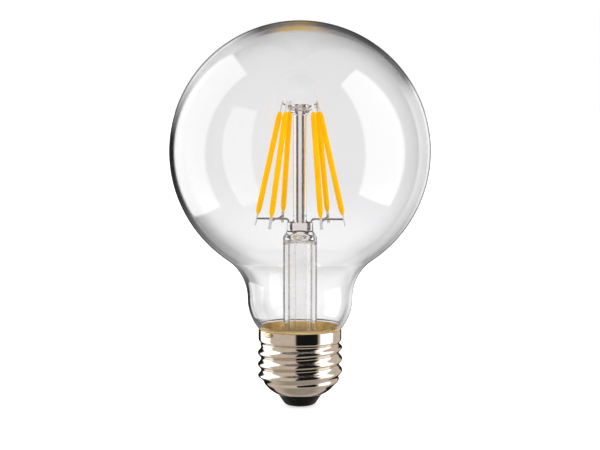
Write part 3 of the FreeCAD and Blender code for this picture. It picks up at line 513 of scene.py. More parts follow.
# Stem: round tube drawn out to the flattened press, with a flared foot
def oval_reach(angle, width, depth, corner):
    """How far a rounded rectangle reaches from its middle in a direction."""
    half_x, half_y = width / 2, depth / 2
    c, s = abs(math.cos(angle)), abs(math.sin(angle))
    if c > 1e-9 and half_x / c * s <= half_y - corner:
        return half_x / c
    if s > 1e-9 and half_y / s * c <= half_x - corner:
        return half_y / s
    px, py = half_x - corner, half_y - corner
    along = px * c + py * s
    return along + math.sqrt(max(along ** 2 - (px ** 2 + py ** 2 - corner ** 2), 0))


def stem_ring(level, reach, steps=128):
    """One ring of the stem, turned with the mount."""
    ring = []
    for number in range(steps):
        angle = 2 * math.pi * number / steps
        far = reach(angle)
        turn = angle + MOUNT_TURN
        ring.append((far * math.cos(turn), far * math.sin(turn), level))
    return ring


def press_reach(inset):
    """Reach of the press, drawn in by an inset, in each direction."""
    return lambda angle: oval_reach(
        angle, PRESS_WIDTH - 2 * inset, PRESS_DEPTH - 2 * inset, PRESS_ROUND - inset
    )


def stem_mesh():
    """The stem from its foot up the outside to the press, and down the inside."""
    outer = run_of([
        (FLARE_FOOT, SLEEVE_BOTTOM),
        (
            FLARE_FOOT,
            FLARE_TOP - math.sqrt(FLARE_ROUND ** 2 - (STEM_RADIUS + FLARE_ROUND - FLARE_FOOT) ** 2),
            FLARE_ROUND,
            RIGHT,
        ),
        (STEM_RADIUS, FLARE_TOP),
        (STEM_RADIUS, STEM_END),
    ], closed=False)
    rings = [stem_ring(point.y, lambda angle, far=point.x: far) for point in outer]
    neck_steps = 14
    flat = press_reach(0)
    for number in range(1, neck_steps + 1):
        share = number / neck_steps
        ease = share * share * (3 - 2 * share)
        level = STEM_END + (PRESS_START - STEM_END) * share
        rings.append(stem_ring(
            level, lambda angle, ease=ease: STEM_RADIUS * (1 - ease) + flat(angle) * ease
        ))
    rings.append(stem_ring(PRESS_TOP - PRESS_BEVEL, flat))
    bevel_steps = 5
    for number in range(1, bevel_steps + 1):
        turn = math.pi / 2 * number / bevel_steps
        rings.append(stem_ring(
            PRESS_TOP - PRESS_BEVEL * (1 - math.sin(turn)),
            press_reach(PRESS_BEVEL * (1 - math.cos(turn))),
        ))
    rings.append([(0, 0, PRESS_TOP)])
    inside_foot = FLARE_FOOT - STEM_WALL
    inside_round = FLARE_ROUND + STEM_WALL
    inner = run_of([
        (0, STEM_TOP + DOME_RISE, DOME_CROWN, RIGHT),
        (DOME_REACH, STEM_TOP - DOME_DROP, DOME_CORNER, RIGHT),
        (STEM_BORE, STEM_TOP - DOME_SIDE),
        (STEM_BORE, FLARE_TOP, inside_round, LEFT),
        (
            inside_foot,
            FLARE_TOP - math.sqrt(inside_round ** 2 - (STEM_RADIUS + FLARE_ROUND - inside_foot) ** 2),
        ),
        (inside_foot, SLEEVE_BOTTOM),
    ], closed=False)
    for point in inner:
        if point.x < 1e-6:
            rings.append([(0, 0, point.y)])
        else:
            rings.append(stem_ring(point.y, lambda angle, far=point.x: far))
    return rings_mesh("stem_glass", rings, True)


make_piece("stem_glass", stem_mesh(), STEM_GLASS, "clear_glass", "stem")

EXHAUST_RADIUS = 2.0
EXHAUST_WALL = 0.6
EXHAUST_TIP = 13.1
EXHAUST_BORE = EXHAUST_RADIUS - EXHAUST_WALL
EXHAUST_TOP = STEM_TOP - 0.2
make_piece(
    "exhaust_glass",
    turned_mesh("exhaust_glass", [
        (0, EXHAUST_TIP, EXHAUST_RADIUS, LEFT),
        (EXHAUST_RADIUS, EXHAUST_TIP + EXHAUST_RADIUS),
        (EXHAUST_RADIUS, EXHAUST_TOP),
        (EXHAUST_BORE, EXHAUST_TOP),
        (EXHAUST_BORE, EXHAUST_TIP + EXHAUST_RADIUS, EXHAUST_BORE, RIGHT),
        (0, EXHAUST_TIP + EXHAUST_WALL),
    ], 64, 6),
    STEM_GLASS, "clear_glass", "exhaust_tube",
)

ROD_RADIUS = 2.1
BUTTON_RADIUS = 2.9
ROD_FOOT = PRESS_TOP + 0.005
ROD_FOOT_FLARE = 0.5
ROD_FOOT_ROUND = 0.7
BUTTON_TOP = 93.15
BUTTON_BASE = 90.75
BUTTON_NECK = 1.2
BUTTON_NECK_ROUND = 1.4
BUTTON_NECK_FLARE = 0.42
BUTTON_NECK_TOP = 0.25
BUTTON_UNDERSIDE_ROUND = 1.0
BUTTON_SIDE = 0.55
BUTTON_EDGE = 0.9
BUTTON_CROWN = 12.0
make_piece(
    "rod_glass",
    turned_mesh("rod_glass", [
        (0, ROD_FOOT),
        (ROD_RADIUS + ROD_FOOT_FLARE, ROD_FOOT, ROD_FOOT_ROUND, RIGHT),
        (ROD_RADIUS, PRESS_TOP + ROD_FOOT_ROUND),
        (ROD_RADIUS, BUTTON_BASE - BUTTON_NECK, BUTTON_NECK_ROUND, RIGHT),
        (ROD_RADIUS + BUTTON_NECK_FLARE, BUTTON_BASE - BUTTON_NECK_TOP, BUTTON_UNDERSIDE_ROUND, LEFT),
        (BUTTON_RADIUS, BUTTON_BASE + BUTTON_SIDE),
        (BUTTON_RADIUS, BUTTON_TOP - BUTTON_EDGE, BUTTON_EDGE, LEFT),
        (BUTTON_RADIUS - BUTTON_EDGE, BUTTON_TOP, BUTTON_CROWN, LEFT),
        (0, BUTTON_TOP),
    ], 72, 5),
    STEM_GLASS, "clear_glass", "support_rod",
)

# Black glass insulator, with the seat of the contact under it
SEAT_RADIUS = 3.02
SEAT_LEVEL = 0.5
PIN_HOLE = 1.12
INSULATOR_FOOT = 0.2
INSULATOR_FLAT = 3.4
INSULATOR_ROUND = 2.0
INSULATOR_TURN = math.radians(55)
INSULATOR_HOLE = 6.89
INSULATOR_TOP = 6.6
BOWL_FIT = 0.01
BOWL_INSIDE = BOWL_ROUND - SHELL_WALL - BOWL_FIT
BOWL_FOOT = BOWL_LEVEL - math.sqrt(BOWL_ROUND ** 2 - (SHELL_HOLE - BOWL_REACH) ** 2)
make_piece(
    "insulator",
    turned_mesh("insulator", [
        (PIN_HOLE, SEAT_LEVEL),
        (SEAT_RADIUS, SEAT_LEVEL),
        (SEAT_RADIUS, INSULATOR_FOOT),
        (INSULATOR_FLAT, INSULATOR_FOOT, INSULATOR_ROUND, LEFT),
        (
            INSULATOR_FLAT + INSULATOR_ROUND * math.sin(INSULATOR_TURN),
            INSULATOR_FOOT + INSULATOR_ROUND * (1 - math.cos(INSULATOR_TURN)),
        ),
        (INSULATOR_HOLE, BOWL_FOOT),
        (
            INSULATOR_HOLE,
            BOWL_LEVEL - math.sqrt(BOWL_INSIDE ** 2 - (INSULATOR_HOLE - BOWL_REACH) ** 2),
            BOWL_INSIDE,
            LEFT,
        ),
        (BOWL_REACH + math.sqrt(BOWL_INSIDE ** 2 - (BOWL_LEVEL - INSULATOR_TOP) ** 2), INSULATOR_TOP),
        (PIN_HOLE, INSULATOR_TOP),
    ], 96, 4),
    BLACK_GLASS, "black_glass", "cap_insulator",
)

# Cement ring, bonded to the glass: its inner face lies a little inside the glass wall
CEMENT_GRIP = 0.45
CEMENT_FIT = 0.01
CEMENT_OUTSIDE = COLLAR_RADIUS - SHELL_WALL - CEMENT_FIT
CEMENT_LIP = LIP_ROUND + CEMENT_GRIP
CEMENT_SLOPE = (LIP_RADIUS - 0.95, CEMENT_TOP + 0.45)
CEMENT_BEAD = CEMENT_TOP + 0.75
CEMENT_BEAD_RADIUS = LIP_RADIUS - math.sqrt(CEMENT_LIP ** 2 - (CEMENT_BEAD - SLEEVE_TOP) ** 2)
make_piece(
    "cement_ring",
    turned_mesh("cement_ring", [
        (CEMENT_OUTSIDE, CEMENT_BASE),
        (CEMENT_OUTSIDE, CEMENT_TOP),
        CEMENT_SLOPE,
        (CEMENT_BEAD_RADIUS, CEMENT_BEAD, CEMENT_LIP, LEFT),
        (LIP_RADIUS - CEMENT_LIP, SLEEVE_TOP),
        (LIP_RADIUS - CEMENT_LIP, CEMENT_BASE),
    ]),
    CEMENT, "cement", "capping_cement",
)


# Pieces that follow a rule
class Rule:
    """A geometry tree with named inputs, grown node by node."""

    def __init__(self, name, inputs):
        self.tree = bpy.data.node_groups.new(name, "GeometryNodeTree")
        face = self.tree.interface
        face.new_socket("Geometry", in_out="INPUT", socket_type="NodeSocketGeometry")
        for label, kind, value in inputs:
            face.new_socket(label, in_out="INPUT", socket_type=kind).default_value = value
        self.material = face.new_socket(
            "Finish", in_out="INPUT", socket_type="NodeSocketMaterial"
        ).identifier
        face.new_socket("Geometry", in_out="OUTPUT", socket_type="NodeSocketGeometry")
        self.given = self.put("NodeGroupInput").outputs

    def put(self, kind, inputs=None, **settings):
        return put(self.tree, kind, inputs, **settings)

    def maths(self, operation, *values):
        return maths(self.tree, operation, *values)

    def span(self, value, low, high, first=0.0, last=1.0, smooth=False):
        """Map a value from one range to another, held at the ends."""
        kind = "SMOOTHSTEP" if smooth else "LINEAR"
        return self.put("ShaderNodeMapRange", {
            "Value": value,
            "From Min": low,
            "From Max": high,
            "To Min": first,
            "To Max": last,
        }, interpolation_type=kind).outputs[0]

    def end(self, geometry):
        """Realise copies and set the finish."""
        solid = self.put("GeometryNodeRealizeInstances", {0: geometry}).outputs[0]
        dressed = self.put("GeometryNodeSetMaterial", {0: solid, "Material": self.given["Finish"]})
        self.put("NodeGroupOutput", {0: dressed.outputs[0]})

    def grow(self, name, start, material, more=()):
        """Run the tree on a start mesh and give back the plain mesh."""
        piece = bpy.data.objects.new(name, start)
        bpy.context.scene.collection.objects.link(piece)
        modifier = piece.modifiers.new(name, "NODES")
        modifier.node_group = self.tree
        modifier[self.material] = material
        for kind, settings in more:
            extra = piece.modifiers.new(kind.lower(), kind)
            for key, value in settings.items():
                setattr(extra, key, value)
        scene_now = bpy.context.evaluated_depsgraph_get()
        mesh = bpy.data.meshes.new_from_object(piece.evaluated_get(scene_now))
        mesh.name = name
        bpy.data.objects.remove(piece)
        return mesh


def polyline(name, points):
    """An open line of points in the plane of the axis, for a tree to read."""
    mesh = bpy.data.meshes.new(name)
    places = [(point[0] * MM, 0, point[1] * MM) for point in points]
    mesh.from_pydata(places, [(number, number + 1) for number in range(len(points) - 1)], [])
    return mesh


def turned_sheet(rule, profile, around, up):
    """A sheet turned from a profile: gives the sheet, its angle, and the profile's radius and level."""
    line = rule.put("GeometryNodeMeshToCurve", {0: profile}).outputs[0]
    grid = rule.put("GeometryNodeMeshGrid", {
        "Size X": 1.0,
        "Size Y": 1.0,
        "Vertices X": around,
        "Vertices Y": up,
    })
    place = rule.put("ShaderNodeSeparateXYZ", {0: rule.put("GeometryNodeInputPosition").outputs[0]})
    turn = rule.maths("MULTIPLY", rule.maths("ADD", place.outputs[0], 0.5), 2 * math.pi)
    share = rule.maths("ADD", place.outputs[1], 0.5)
    read = rule.put("GeometryNodeSampleCurve", {"Curves": line, "Factor": share}, mode="FACTOR")
    found = rule.put("ShaderNodeSeparateXYZ", {0: read.outputs["Position"]})
    return grid.outputs["Mesh"], turn, found.outputs[0], found.outputs[2]


SEAM_GAP = 1e-6


def wrapped(rule, sheet, turn, radius, level):
    """Bend the flat sheet round the axis and close its seam."""
    place = rule.put("ShaderNodeCombineXYZ", {
        0: rule.maths("MULTIPLY", radius, rule.maths("COSINE", turn)),
        1: rule.maths("MULTIPLY", radius, rule.maths("SINE", turn)),
        2: level,
    }).outputs[0]
    bent = rule.put("GeometryNodeSetPosition", {"Geometry": sheet, "Position": place}).outputs[0]
    return rule.put("GeometryNodeMergeByDistance", {"Geometry": bent, "Distance": SEAM_GAP}).outputs[0]


def thread_rule():
    """Sheet metal turned from a profile, with a round thread rolled into it."""
    rule = Rule("rolled_thread", [
        ("Steps round", "NodeSocketInt", 160),
        ("Steps up", "NodeSocketInt", 260),
        ("Pitch", "NodeSocketFloat", THREAD_PITCH * MM),
        ("Depth", "NodeSocketFloat", THREAD_DEPTH * MM),
        ("Start level", "NodeSocketFloat", THREAD_START * MM),
        ("Run in from", "NodeSocketFloat", THREAD_RUN_IN[0] * MM),
        ("Run in to", "NodeSocketFloat", THREAD_RUN_IN[1] * MM),
        ("Run out from", "NodeSocketFloat", THREAD_RUN_OUT[0] * MM),
        ("Run out to", "NodeSocketFloat", THREAD_RUN_OUT[1] * MM),
    ])
    given = rule.given
    sheet, turn, radius, level = turned_sheet(
        rule, given["Geometry"], given["Steps round"], given["Steps up"]
    )
    climb = rule.maths("DIVIDE", rule.maths("SUBTRACT", level, given["Start level"]), given["Pitch"])
    phase = rule.maths("SUBTRACT", rule.maths("MULTIPLY", climb, 2 * math.pi), turn)
    wave = rule.maths("MULTIPLY_ADD", rule.maths("COSINE", phase), 0.5, 0.5)
    run_in = rule.span(level, given["Run in from"], given["Run in to"], smooth=True)
    run_out = rule.span(level, given["Run out from"], given["Run out to"], 1.0, 0.0, smooth=True)
    height = rule.maths("MULTIPLY", wave, given["Depth"])
    height = rule.maths("MULTIPLY", height, rule.maths("MULTIPLY", run_in, run_out))
    rule.end(wrapped(rule, sheet, turn, rule.maths("ADD", radius, height), level))
    return rule


BOWL_TURN_OFF = BOWL_LEVEL - math.sqrt(BOWL_ROUND ** 2 - (THREAD_ROOT - BOWL_REACH) ** 2)
# The sheet swings out to the collar in two bends: where they start, meet and end, and their radius
SWING_START = COLLAR_BASE - 0.2
SWING_MIDDLE = (THREAD_ROOT + 0.38, COLLAR_BASE + 0.5)
SWING_END = COLLAR_BASE + 1.4
SWING_ROUND = 1.2
RIM_EDGE = 0.15
shell_profile = run_of([
    (SHELL_HOLE, BOWL_FOOT, BOWL_ROUND, LEFT),
    (THREAD_ROOT, BOWL_TURN_OFF),
    (THREAD_ROOT, SWING_START, SWING_ROUND, RIGHT),
    (*SWING_MIDDLE, SWING_ROUND, LEFT),
    (COLLAR_RADIUS, SWING_END),
    (COLLAR_RADIUS, RIM_HEIGHT - RIM_EDGE, RIM_EDGE, LEFT),
    (COLLAR_RADIUS - RIM_EDGE, RIM_HEIGHT),
], closed=False)
shell = thread_rule().grow(
    "rolled_shell", polyline("shell_profile", shell_profile), SHELL_NICKEL,
    more=[("SOLIDIFY", {"thickness": SHELL_WALL * MM, "offset": -1.0, "use_even_offset": True})],
)
make_piece("rolled_shell", tidy_mesh(shell), SHELL_NICKEL, "shell_nickel", "screw_shell")


def filament_rule():
    """One coated filament turned from its profile, a little lumpy, set out round the axis."""
    count = len(FILAMENT_TURNS)
    lumps_per_metre = 900.0
    mean_swell = 0.6
    least_lumpy = 0.3
    rule = Rule("filament_ring", [
        ("Count", "NodeSocketInt", count),
        ("Steps round", "NodeSocketInt", 20),
        ("Steps up", "NodeSocketInt", 150),
        ("Lumps", "NodeSocketFloat", FILAMENT_LUMPS * MM),
        ("Foot radius", "NodeSocketFloat", FOOT_RADIUS * MM),
        ("Foot height", "NodeSocketFloat", FOOT_HEIGHT * MM),
        ("Lean", "NodeSocketFloat", -FILAMENT_TILT),
        ("First turn", "NodeSocketFloat", MOUNT_TURN),
        *[
            (f"Turn {n + 1}", "NodeSocketFloat", -math.radians(turn))
            for n, turn in enumerate(FILAMENT_TURNS)
        ],
        *[
            (f"Sway {n + 1}", "NodeSocketFloat", math.radians(sway))
            for n, sway in enumerate(FILAMENT_SWAYS)
        ],
    ])
    given = rule.given

    def of_each(label):
        """The input of that name that belongs to the filament in hand."""
        choice = rule.put("GeometryNodeIndexSwitch", data_type="FLOAT")
        while len(choice.index_switch_items) < count:
            choice.index_switch_items.new()
        rule.tree.links.new(rule.put("GeometryNodeInputIndex").outputs[0], choice.inputs[0])
        for n in range(count):
            rule.tree.links.new(given[f"{label} {n + 1}"], choice.inputs[n + 1])
        return choice.outputs[0]

    def rotation(**turns):
        """A turn about each of the axes that are named."""
        axes = [turns.get(axis, 0.0) for axis in "xyz"]
        angles = rule.put("ShaderNodeCombineXYZ", dict(enumerate(axes))).outputs[0]
        return rule.put("FunctionNodeEulerToRotation", {0: angles}).outputs[0]

    def turned_by(first, then):
        """One rotation after another."""
        both = rule.put("FunctionNodeRotateRotation", {0: first, 1: then}, rotation_space="GLOBAL")
        return both.outputs[0]

    sheet, turn, radius, level = turned_sheet(
        rule, given["Geometry"], given["Steps round"], given["Steps up"]
    )
    swell = rule.put("ShaderNodeTexNoise", {
        "W": rule.maths("MULTIPLY", level, lumps_per_metre),
        "Scale": 1.0,
        "Detail": 1.0,
    }, noise_dimensions="1D").outputs["Fac"]
    lump = rule.maths("MULTIPLY", rule.maths("SUBTRACT", swell, mean_swell), given["Lumps"])
    full = rule.span(radius, least_lumpy * MM, FILAMENT_RADIUS * MM)
    thick = rule.maths("ADD", radius, rule.maths("MULTIPLY", lump, full))
    strip = wrapped(rule, sheet, turn, thick, level)
    points = rule.put("GeometryNodePoints", {"Count": given["Count"]}).outputs[0]
    angle = rule.maths("ADD", of_each("Turn"), given["First turn"])
    foot = rule.put("ShaderNodeCombineXYZ", {
        0: rule.maths("MULTIPLY", given["Foot radius"], rule.maths("COSINE", angle)),
        1: rule.maths("MULTIPLY", given["Foot radius"], rule.maths("SINE", angle)),
        2: given["Foot height"],
    }).outputs[0]
    points = rule.put("GeometryNodeSetPosition", {"Geometry": points, "Position": foot}).outputs[0]
    leaning = turned_by(rotation(y=given["Lean"]), rotation(x=of_each("Sway")))
    copies = rule.put("GeometryNodeInstanceOnPoints", {
        "Points": points,
        "Instance": strip,
        "Rotation": turned_by(leaning, rotation(z=angle)),
    }).outputs[0]
    rule.end(copies)
    return rule


def swell_round(tip, length):
    """Radius of the arc by which a filament swells from its tip to its full width."""
    more = FILAMENT_RADIUS - tip
    return (more ** 2 + length ** 2) / (2 * more)


POLE = 0.0001
POINT_ROUND = swell_round(FILAMENT_POINT, FILAMENT_POINTING)
TIP_ROUND = swell_round(FILAMENT_TIP, FILAMENT_TAPER)
filament_profile = run_of([
    (POLE, 0.0),
    (FILAMENT_POINT - FILAMENT_EDGE, 0.0, FILAMENT_EDGE, LEFT),
    (FILAMENT_POINT, FILAMENT_EDGE, POINT_ROUND, LEFT),
    (FILAMENT_RADIUS, FILAMENT_POINTING),
    (FILAMENT_RADIUS, FILAMENT_LENGTH - FILAMENT_TAPER, TIP_ROUND, LEFT),
    (FILAMENT_TIP, FILAMENT_LENGTH - FILAMENT_EDGE, FILAMENT_EDGE, LEFT),
    (FILAMENT_TIP - FILAMENT_EDGE, FILAMENT_LENGTH),
    (POLE, FILAMENT_LENGTH),
], closed=False)
filaments = filament_rule().grow("filaments", polyline("filament_profile", filament_profile), PHOSPHOR)
make_piece(
    "filaments", tidy_mesh(filaments), PHOSPHOR, "phosphor",
    *[f"filament_{number + 1}" for number in range(len(FILAMENT_TURNS))],
)


# Finishes of the solids that stay
STAYING = {
    "top_tab": TAB_METAL,
    "foot_tab": TAB_METAL,
    "bridge_wire": WIRE_NICKEL,
    "lead_wire": WIRE_NICKEL,
    "branch_arm": WIRE_NICKEL,
    "neutral_wire": TINNED_WIRE,
    "live_wire": TINNED_WIRE,
    "fuse_lead": TINNED_WIRE,
    "capacitor_lead": TINNED_WIRE,
    "centre_contact": CONTACT_BRASS,
    "rim_solder": SOLDER,
    "driver_board": BOARD,
    "bridge_rectifier": CHIP_BLACK,
    "driver_chip": CHIP_BLACK,
    "sense_resistor": CHIP_BLACK,
    "smoothing_capacitor": CAN_SLEEVE,
    "fuse_resistor": FUSE_ENAMEL,
}
for name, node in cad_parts.items():
    for start, material in STAYING.items():
        if name.startswith(start):
            for place in node.material_slots:
                place.material = material


# Studio: the world's strength, and the colours that it shows as its brightest and as plain white
BRIGHT = 2.0
WHITE = grey(1.0)
PALE = grey(1 / BRIGHT)


def left(degrees):
    """Place on a ramp of a bearing from the camera's side towards its left."""
    return degrees / 360


def right(degrees):
    """Place on a ramp of a bearing from the camera's side towards its right."""
    return 1 - degrees / 360


def climbing(degrees):
    """A climb from the horizon as a share of a right angle."""
    return degrees / 90


def zones_group():
    """What metal and glass see round the bulb: soft boxes, paper and dark cards."""
    group = bpy.data.node_groups.new("studio_zones", "ShaderNodeTree")
    face = group.interface
    face.new_socket("Way", in_out="INPUT", socket_type="NodeSocketVector")
    for name in ("Metal", "Glint", "Echo", "Mount", "Wall", "Edge"):
        face.new_socket(name, in_out="OUTPUT", socket_type="NodeSocketColor")
    way = put(group, "NodeGroupInput").outputs["Way"]
    part = put(group, "ShaderNodeSeparateXYZ", {0: way}).outputs

    def length(first, second):
        """Length of a way that has these two parts."""
        square = maths(group, "MULTIPLY_ADD", first, first, maths(group, "MULTIPLY", second, second))
        return maths(group, "SQRT", square)

    def share_of_turn(rising, level):
        """Angle of a way with these parts as a share of a full turn; along level it is a half."""
        return maths(group, "MULTIPLY_ADD", maths(group, "ARCTAN2", rising, level), 0.5 / math.pi, 0.5)

    climb = maths(group, "ARCTAN2", part[2], length(part[0], part[1]))
    climb = maths(group, "DIVIDE", climb, math.pi / 2)
    around = share_of_turn(part[0], part[1])

    def panel(bearing, low, high, sides):
        """Where a flat box shows that faces the bulb.

        It takes the box's bearing to the right, the slopes of its foot and head, and a ramp of its sides.
        """
        turn = math.radians(bearing)
        reach = maths(group, "MULTIPLY", part[1], -math.cos(turn))
        reach = maths(group, "MULTIPLY_ADD", part[0], math.sin(turn), reach)
        slope = maths(group, "DIVIDE", part[2], maths(group, "MAXIMUM", reach, 0.01))
        above = rise(group, slope, low, low + 0.06)
        below = rise(group, slope, high, high - 0.1)
        tall = maths(group, "MULTIPLY", above, below)
        return maths(group, "MULTIPLY", tall, ramp(group, around, sides))

    right_box = panel(81, -0.68, 1.6, [
        (right(105), grey(0)),
        (right(102), grey(1)),
        (right(60), grey(1)),
        (right(57), grey(0)),
    ])

    # In metal: the boxes among beige walls and dark cards, over warm ground
    beige = (0.38, 0.335, 0.29)
    earth = (0.33, 0.295, 0.255)
    card = grey(0.006)
    walls = ramp(group, around, [
        (left(0), card),
        (left(10), card),
        (left(14), beige),
        (left(138), beige),
        (left(143), card),
        (left(171), card),
        (left(174), grey(0.45)),
        (right(174), grey(0.45)),
        (right(171), card),
        (right(152), card),
        (right(146), beige),
        (right(56), beige),
        (right(49), card),
        (right(0), card),
    ])
    underfoot = (0.20, 0.185, 0.16)
    ground = blend(group, rise(group, climb, climbing(-68), climbing(-50)), underfoot, earth)
    room = blend(group, rise(group, climb, climbing(-44), climbing(-38)), ground, walls)
    brown = (0.18, 0.157, 0.136)
    overhead = ramp(group, around, [
        (left(8), card),
        (left(20), brown),
        (right(64), brown),
        (right(52), card),
    ])
    room = blend(group, rise(group, climb, climbing(54), climbing(62)), room, overhead)
    left_box = panel(-88, -0.72, 1.52, [
        (left(89), grey(0)),
        (left(92), grey(1)),
        (left(135), grey(1)),
        (left(140), grey(0)),
    ])
    metal = blend(group, maths(group, "MAXIMUM", left_box, right_box), room, WHITE)

    # In clear glass: the boxes alone stand out, and one of them once more in the far wall
    faint = (0.03, 0.028, 0.028)
    wide_box = panel(-88, -0.72, 1.52, [
        (left(89), grey(0)),
        (left(92), grey(0.75)),
        (left(141), grey(0.75)),
        (left(146), grey(0)),
    ])
    again = panel(62, -0.73, 1.05, [
        (right(80), grey(0)),
        (right(77), grey(1)),
        (right(49), grey(1)),
        (right(45), grey(0)),
    ])
    echo = blend(group, again, faint, grey(1.5))
    echo = blend(group, rise(group, climb, climbing(44), climbing(50)), echo, overhead)

    # Where on the outline of the glass a ray comes from: round from its left side by the foot, right and top
    ahead = rise(group, part[1], 0.55, 0.65)
    sense = maths(group, "MULTIPLY_ADD", ahead, 2.0, -1.0)
    lifted = maths(group, "MULTIPLY_ADD", ahead, 0.04, part[2])
    clock = share_of_turn(maths(group, "MULTIPLY", sense, lifted), maths(group, "MULTIPLY", sense, part[0]))
    aside = length(part[0], lifted)
    brink = ramp(group, clock, [
        (0.0, grey(0.008)),
        (0.06, grey(0.02)),
        (0.13, grey(0.12)),
        (0.22, grey(0.3)),
        (0.36, grey(0.22)),
        (0.45, grey(0.45)),
        (0.52, grey(0.5)),
        (0.575, grey(0.48)),
        (0.60, grey(0.10)),
        (0.66, grey(0.04)),
        (0.72, grey(0.05)),
        (0.745, (0.16, 0.12, 0.06)),
        (0.775, (0.10, 0.09, 0.08)),
        (0.80, grey(0.05)),
        (0.84, grey(0.42)),
        (0.90, grey(0.46)),
        (0.95, grey(0.14)),
        (0.98, grey(0.012)),
        (1.0, grey(0.008)),
    ])
    glint = blend(group, ahead, faint, brink)
    glint = blend(group, maths(group, "MAXIMUM", wide_box, right_box), glint, grey(1.12))
    inner = ramp(group, clock, [
        (0.0, grey(0.47)),
        (0.07, grey(0.42)),
        (0.11, grey(0.33)),
        (0.145, grey(0.37)),
        (0.18, PALE),
        (0.25, grey(0.55)),
        (0.44, grey(0.54)),
        (0.49, grey(0.50)),
        (0.56, grey(0.48)),
        (0.62, grey(0.40)),
        (0.70, grey(0.42)),
        (0.80, grey(0.46)),
        (0.86, PALE),
        (1.0, grey(0.47)),
    ])

    # Straight through the wall of the globe: white paper, with a dark rail and a gilt piece above
    gilt = (0.46, 0.30, 0.06)
    rail = ramp(group, around, [
        (left(177.9), (0.16, 0.14, 0.15)),
        (left(178.4), gilt),
        (right(179.8), gilt),
        (right(179.2), (0.48, 0.36, 0.21)),
        (right(178.2), (0.48, 0.35, 0.25)),
        (right(177.8), grey(0.24)),
    ])
    along = ramp(group, around, [
        (left(176.4), grey(0)),
        (left(176.8), grey(1)),
        (right(173.2), grey(1)),
        (right(172.4), grey(0)),
    ])
    hung = maths(group, "MULTIPLY", along, rise(group, climb, climbing(6.4), climbing(7.4)))
    paper = blend(group, rise(group, climb, climbing(-3), climbing(-7)), PALE, grey(0.6))
    wall = blend(group, rise(group, aside, 0.09, 0.16), paper, inner)
    wall = blend(group, hung, wall, rail)
    wall = blend(group, rise(group, aside, 0.21, 0.28), wall, brink)
    wall = blend(group, ahead, grey(0.55), wall)

    # Through the mount as well: white paper between two dark cards
    mount = ramp(group, around, [
        (left(0), PALE),
        (left(108), PALE),
        (left(114), grey(0.58)),
        (left(148), grey(0.58)),
        (left(154), grey(0.012)),
        (left(168), grey(0.012)),
        (left(172), (0.46, 0.42, 0.40)),
        (right(172), (0.46, 0.42, 0.40)),
        (right(169), (0.03, 0.018, 0.012)),
        (right(158), (0.03, 0.018, 0.012)),
        (right(154), grey(0.58)),
        (right(114), grey(0.58)),
        (right(108), PALE),
        (right(0), PALE),
    ])
    put(group, "NodeGroupOutput", {
        "Metal": metal,
        "Glint": glint,
        "Echo": echo,
        "Mount": mount,
        "Wall": wall,
        "Edge": brink,
    })
    return group


def studio_floor():
    """White paper that keeps the bulb's shadow near it; gloss and glass see the studio past it."""
    mesh = bpy.data.meshes.new("floor")
    half = 6.0
    corners = [(-half, -half, 0), (half, -half, 0), (half, half, 0), (-half, half, 0)]
    mesh.from_pydata(corners, [], [(0, 1, 2, 3)])
    material = bpy.data.materials.new("floor_paper")
    material.use_nodes = True
    tree = material.node_tree
    shader = tree.nodes["Principled BSDF"]
    place = put(tree, "ShaderNodeTexCoord").outputs["Object"]
    noise = put(tree, "ShaderNodeTexNoise", {"Vector": place, "Scale": 60.0, "Detail": 3.0}).outputs["Fac"]
    paper = ramp(tree, noise, [(0.3, grey(0.79)), (0.7, grey(0.83))])
    tree.links.new(paper, shader.inputs["Base Color"])
    shader.inputs["Roughness"].default_value = 1.0
    shader.inputs["Specular IOR Level"].default_value = 0.0
    far = put(tree, "ShaderNodeVectorMath", {0: place}, operation="LENGTH").outputs["Value"]
    lift = put(tree, "ShaderNodeMapRange", {
        "Value": far,
        "From Min": 0.10,
        "From Max": 0.32,
        "To Min": 0.62,
        "To Max": 1.0,
    }, interpolation_type="SMOOTHSTEP").outputs[0]
    seen = put(tree, "ShaderNodeLightPath").outputs["Is Camera Ray"]
    shader.inputs["Emission Color"].default_value = (1, 1, 1, 1)
    tree.links.new(maths(tree, "MULTIPLY", seen, lift), shader.inputs["Emission Strength"])
    floor = bpy.data.objects.new("floor", mesh)
    mesh.materials.append(material)
    bpy.context.scene.collection.objects.link(floor)
    floor.visible_glossy = False
    floor.visible_transmission = False


# Height on the bulb's axis that the lamps face, in metres
LAMP_AIM = 0.07


def softbox(name, bearing, height, reach, width, tall, radiance):
    """A soft lamp that faces the bulb; bearing is from the camera's side, towards +X."""
    lamp = bpy.data.lights.new(name, "AREA")
    lamp.shape = "RECTANGLE"
    lamp.size = width
    lamp.size_y = tall
    lamp.energy = radiance * math.pi * width * tall
    holder = bpy.data.objects.new(name, lamp)
    turn = math.radians(bearing)
    place = Vector((math.sin(turn) * reach, -math.cos(turn) * reach, height))
    holder.location = place
    aim = Vector((0, 0, LAMP_AIM)) - place
    holder.rotation_euler = aim.to_track_quat("-Z", "Y").to_euler()
    holder.visible_camera = False
    holder.visible_glossy = False
    holder.visible_transmission = False
    bpy.context.scene.collection.objects.link(holder)


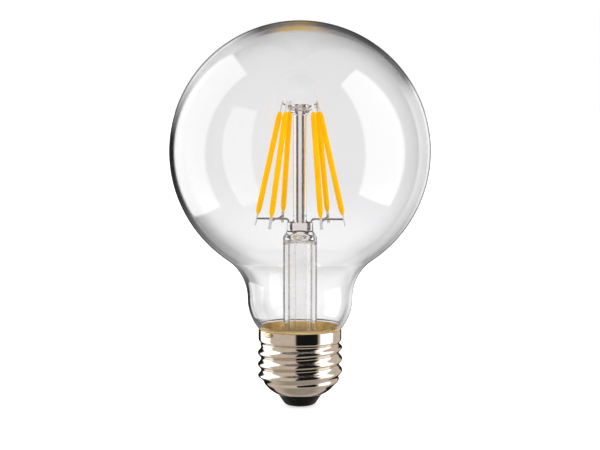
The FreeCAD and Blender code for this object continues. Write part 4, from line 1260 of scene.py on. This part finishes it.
def studio_world():
    """White behind everything for the camera; the studio's zones for gloss and glass."""
    world = bpy.data.worlds.new("studio")
    bpy.context.scene.world = world
    world.use_nodes = True
    tree = world.node_tree
    tree.nodes.clear()
    way = put(tree, "ShaderNodeTexCoord").outputs["Generated"]
    zones = put(tree, "ShaderNodeGroup", {"Way": way}, node_tree=zones_group()).outputs
    path = put(tree, "ShaderNodeLightPath").outputs
    # A ray passes two faces of glass in the wall's edge, four in the globe and more in the mount
    passes = path["Transmission Depth"]
    in_edge = maths(tree, "LESS_THAN", passes, 2.5)
    in_globe = maths(tree, "LESS_THAN", passes, 5.0)
    in_mount = maths(tree, "LESS_THAN", passes, 7.0)
    through = blend(tree, in_mount, PALE, zones["Mount"])
    through = blend(tree, in_globe, through, zones["Wall"])
    through = blend(tree, in_edge, through, zones["Edge"])
    bounced = maths(tree, "GREATER_THAN", path["Glossy Depth"], 0.5)
    bounced = maths(tree, "MULTIPLY", bounced, in_globe)
    through = blend(tree, bounced, through, blend(tree, in_edge, zones["Echo"], zones["Glint"]))
    mirrored = blend(tree, path["Is Singular Ray"], zones["Metal"], zones["Glint"])
    shown = blend(tree, path["Is Transmission Ray"], mirrored, through)
    shown = blend(tree, path["Is Camera Ray"], shown, PALE)
    # The mount's many walls gather light from all round
    gather = put(tree, "ShaderNodeMapRange", {
        "Value": passes,
        "From Min": 4.0,
        "From Max": 12.0,
        "To Min": BRIGHT,
        "To Max": 1.1 * BRIGHT,
    }).outputs[0]
    light = put(tree, "ShaderNodeBackground", {"Color": shown, "Strength": gather})
    put(tree, "ShaderNodeOutputWorld", {"Surface": light.outputs[0]})


# The camera's focal length and picture width in pixels, its place, and how far it looks down
FOCAL_PIXELS = 1566
PICTURE_WIDTH = 600
SENSOR_WIDTH = 36.0
CAMERA_PLACE = (0, -0.480, 0.0976)
LOOKING_DOWN = math.radians(4.94)


def studio_camera():
    """The camera in front of the bulb, a little above its middle."""
    lens = bpy.data.cameras.new("camera")
    lens.sensor_width = SENSOR_WIDTH
    lens.lens = FOCAL_PIXELS / PICTURE_WIDTH * SENSOR_WIDTH
    lens.clip_start = 0.01
    holder = bpy.data.objects.new("camera", lens)
    holder.location = CAMERA_PLACE
    holder.rotation_euler = (math.pi / 2 - LOOKING_DOWN, 0, 0)
    bpy.context.scene.collection.objects.link(holder)
    bpy.context.scene.camera = holder


studio_floor()
softbox("left_softbox", bearing=-111, height=0.40, reach=0.60, width=0.56, tall=0.90, radiance=1.6)
softbox("right_softbox", bearing=77, height=0.40, reach=0.60, width=0.50, tall=0.90, radiance=1.6)
studio_world()
studio_camera()
scene = bpy.context.scene
scene.view_settings.view_transform = "Standard"
scene.cycles.max_bounces = 24
scene.cycles.transmission_bounces = 24
scene.cycles.glossy_bounces = 8
